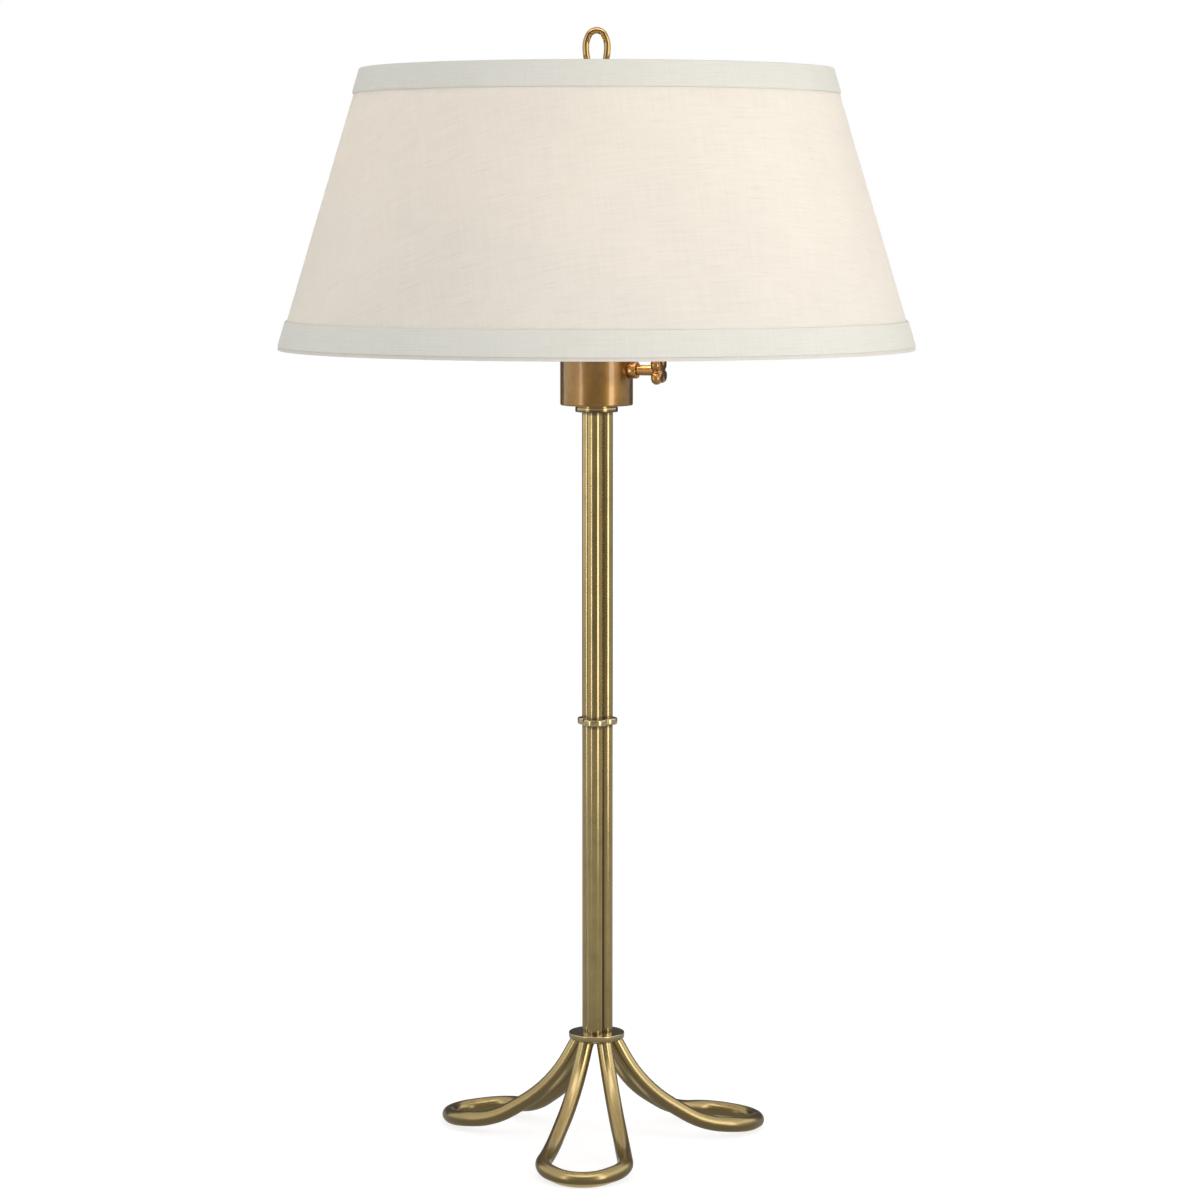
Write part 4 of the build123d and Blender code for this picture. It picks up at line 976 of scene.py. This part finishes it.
class LAMP_OT_finial(bpy.types.Operator):
    """Form the finial's oval wire loop and its threaded base"""
    bl_idname = "lamp.finial"
    bl_label = "Finial"

    def execute(self, context):
        s = lamp().finial
        wire_r = s.wire / 2
        turn = Matrix.Rotation(math.radians(5), 3, "Z")
        front, across = turn @ Vector((0, -1, 0)), turn @ Vector((1, 0, 0))
        # An oval of four arcs: long sides that run into a wider top bend and a tighter bottom one.
        top_bend, bottom_bend = 6.2 * MM, 4.5 * MM
        moves = []
        for bend, rise in ((top_bend, s.top - wire_r - top_bend - s.wide),
                           (bottom_bend, s.wide - s.bottom - wire_r - bottom_bend)):
            side = (s.half_width ** 2 + rise ** 2 - bend ** 2) / (2 * (s.half_width - bend))
            swing = math.atan(rise / (side - s.half_width))
            moves += [(side, swing, front), (bend, math.pi - 2 * swing, front), (side, swing, front)]
        loop = bent_tube(across * s.half_width + UP * s.wide, UP, moves, wire_r, 40, 3.0, capped=False)
        piece("wire_loop", loop, "finial", "brass_polished", ("finial",))
        low = (s.bottom - s.seat) / MM          # the wire's underside, above the seat
        base = [(3.3, 0, 0.2), (5.25, 0, 0.8), (5.25, 1.9, 0.25), (4.9, 2.2, 0.2), (4.9, 2.6, 0.2),
                (5.25, 2.9, 0.25), (5.25, 6, 0.8), (3.3, 6.4, 0.5), (3.3, low - 1.5, 1.0),
                (3.8, low + 0.6, 0.5), (0, low + 1.8), (0, 5.1), (3.3, 5.1)]
        piece("finial_base", turned(above(s.seat, base), 64), "finial", "brass_polished")
        return {"FINISHED"}


class LAMP_OT_inner_parts(bpy.types.Operator):
    """Give the hidden CAD parts their finishes"""
    bl_idname = "lamp.inner_parts"
    bl_label = "Inner parts"

    def execute(self, context):
        for part in frame["record"]["subparts"]:
            node = frame["nodes"][part["node"]]
            node.data.materials.clear()
            node.data.materials.append(finish(part["material_slot"]))
        return {"FINISHED"}


# ---- stage ----

WHITE, WARM, COOL = (1, 1, 1), (1, 0.985, 0.96), (0.97, 0.985, 1)


def softbox(name, azimuth, distance, height, width, tall, radiance, tint, tilt=0.0):
    """Area lamp that faces the lamp's axis, hidden from the camera. A lamp's radiance is its power over
    pi and its area."""
    data = bpy.data.lights.new(name, "AREA")
    data.shape = "RECTANGLE"
    data.size, data.size_y = width, tall
    data.energy = radiance * math.pi * width * tall
    data.color = tint
    obj = placed(name, data)
    obj.location = polar(distance, CAMERA_AZIMUTH + math.radians(azimuth)) + UP * height
    aim = Vector((0, 0, height + tilt)) - obj.location
    obj.rotation_euler = aim.to_track_quat("-Z", "Y").to_euler()
    obj.visible_camera = False
    return obj


def fading_grey(add, low, high, z0, z1):
    """Glowing grey whose tone goes from low to high between two heights."""
    place = add("TexCoord")["Object"]
    height = add("SeparateXYZ", [place])["Z"]
    level = add("MapRange", [height, z0, z1, low, high], interpolation_type="SMOOTHSTEP")[0]
    return add("Emission", [solid(WHITE), level])[0]


def card(name, bm, *tones):
    """Grey card that only metal and glass mirror."""
    obj = meshed(name, bm, material(name, fading_grey, *tones))
    obj.visible_camera = False
    obj.visible_diffuse = False
    obj.visible_shadow = False


def seen_straight(add):
    """1 for what the camera sees straight on, mirrored or through glass, and 0 for light that falls."""
    path = add("LightPath")
    seen = add("Math", [path["Is Glossy Ray"], path["Is Transmission Ray"]], operation="MAXIMUM")[0]
    return add("Math", [path["Is Camera Ray"], seen], operation="MAXIMUM")[0]


def white_paper(add):
    """White paper that fades into the bright surroundings. It throws less light up than it shows."""
    place = add("TexCoord")["Object"]
    away = add("VectorMath", [place], operation="LENGTH")["Value"]
    fade = add("MapRange", [away, 0.25, 0.7], interpolation_type="SMOOTHSTEP")[0]
    lit = add("BsdfDiffuse", [solid(linear("B0B0B0"))])[0]
    near = add("AddShader", [lit, add("Emission", [solid(WHITE), 0.72])[0]])[0]
    shown = add("MixShader", [fade, near, add("Emission", [solid(WHITE), 1.0])[0]])[0]
    dull = add("BsdfDiffuse", [solid(linear("D0D0D0"))])[0]
    return add("MixShader", [seen_straight(add), dull, shown])[0]


class LAMP_OT_stage(bpy.types.Operator):
    """Set the table, the lamps and the camera"""
    bl_idname = "lamp.stage"
    bl_label = "Stage"

    def execute(self, context):
        scene, stage = context.scene, lamp().stage
        bm = bmesh.new()
        bmesh.ops.create_grid(bm, x_segments=2, y_segments=2, size=6.0)
        meshed("table", bm, material("white_table", white_paper))

        scene.world = bpy.data.worlds.new("studio")
        add = emptied(scene.world)
        level = add("MapRange", [seen_straight(add), 0.0, 1.0, 0.66, 1.0])[0]
        add("OutputWorld", [add("Background", [solid(WHITE), level])[0]])

        # Azimuths in degrees from the camera's; the fills don't show in the metal.
        softbox("right_softbox", 48, 1.3, 0.75, 0.36, 1.5, stage.right_light, WARM)
        softbox("left_softbox", -51, 1.3, 0.75, 0.2, 1.4, stage.left_light, COOL)
        softbox("top_softbox", 10, 1.1, 1.9, 0.9, 0.5, 1.5, WHITE, tilt=-1.5)
        softbox("left_fill", -78, 1.3, 0.65, 0.8, 1.2, 0.45, COOL).visible_glossy = False
        softbox("right_fill", 40, 1.3, 0.65, 0.8, 1.2, 0.8, WARM).visible_glossy = False
        low, middle, high = (1.9, 0), (1.9, 0.75), (1.9, 1.7)
        for name, start, end, bottom, top, *tones in (
                ("front_card", -42, 38, low, middle, 0.24, 0.5, 0.3, 0.55),
                ("front_card_top", -42, 38, middle, high, 0.6, 0.12, 0.8, 1.0),
                ("left_card", -128, -58, low, high, 0.6, 1.05, 0.1, 0.4),
                ("right_card", 60, 128, low, high, 0.5, 1.6, 0.45, 0.65),
                ("back_card", 128, 232, low, high, 0.08, 0.08, 0.1, 0.6),
                ("overhead_card", -70, 70, (1.75, 1.5), (0.8, 2.1), 0.3, 4.2, 1.6, 2.05)):
            azimuth = CAMERA_AZIMUTH + math.radians(start)
            card(name, curved(bottom, top, azimuth, math.radians(end - start), 24), *tones)
        card("table_mat", curved((0.02, 0.3 * MM), (1.9, 0.05), 0, FULL_TURN, 24), 0.32, 0.5, 0.003, 0.016)

        data = bpy.data.cameras.new("camera")
        data.lens = stage.lens
        data.sensor_width = 36
        data.shift_x, data.shift_y = 0.0029, -0.0024
        camera = placed("camera", data)
        camera.location = (0.2346, -2.6396, 0.6785)
        camera.rotation_euler = (math.radians(84.047), 0, math.radians(5.08))
        scene.camera = camera
        scene.view_settings.view_transform = "Standard"
        return {"FINISHED"}


STEPS = (LAMP_OT_feet, LAMP_OT_base, LAMP_OT_stem, LAMP_OT_cup, LAMP_OT_key, LAMP_OT_harp, LAMP_OT_socket,
         LAMP_OT_bulb, LAMP_OT_shade, LAMP_OT_shade_frame, LAMP_OT_finial, LAMP_OT_inner_parts,
         LAMP_OT_stage)


class LAMP_PT_panel(bpy.types.Panel):
    """The lamp's steps in the order that they run"""
    bl_idname = "LAMP_PT_panel"
    bl_label = "Bouillotte Lamp"
    bl_space_type = "VIEW_3D"
    bl_region_type = "UI"
    bl_category = "Lamp"

    def draw(self, context):
        for step in STEPS:
            self.layout.operator(step.bl_idname)


CLASSES = (LampStandSizes, LampCupSizes, LampLightSizes, LampShadeSizes, LampFinialSizes, LampColours,
           LampStage, LampSettings, *STEPS, LAMP_PT_panel)


def register():
    for cls in CLASSES:
        bpy.utils.register_class(cls)
    bpy.types.Scene.bouillotte_lamp = PointerProperty(type=LampSettings)


def unregister():
    del bpy.types.Scene.bouillotte_lamp
    for cls in reversed(CLASSES):
        bpy.utils.unregister_class(cls)


def main():
    register()
    for step in STEPS:
        group, name = step.bl_idname.split(".")
        getattr(getattr(bpy.ops, group), name)()


if __name__ == "__main__":
    main()
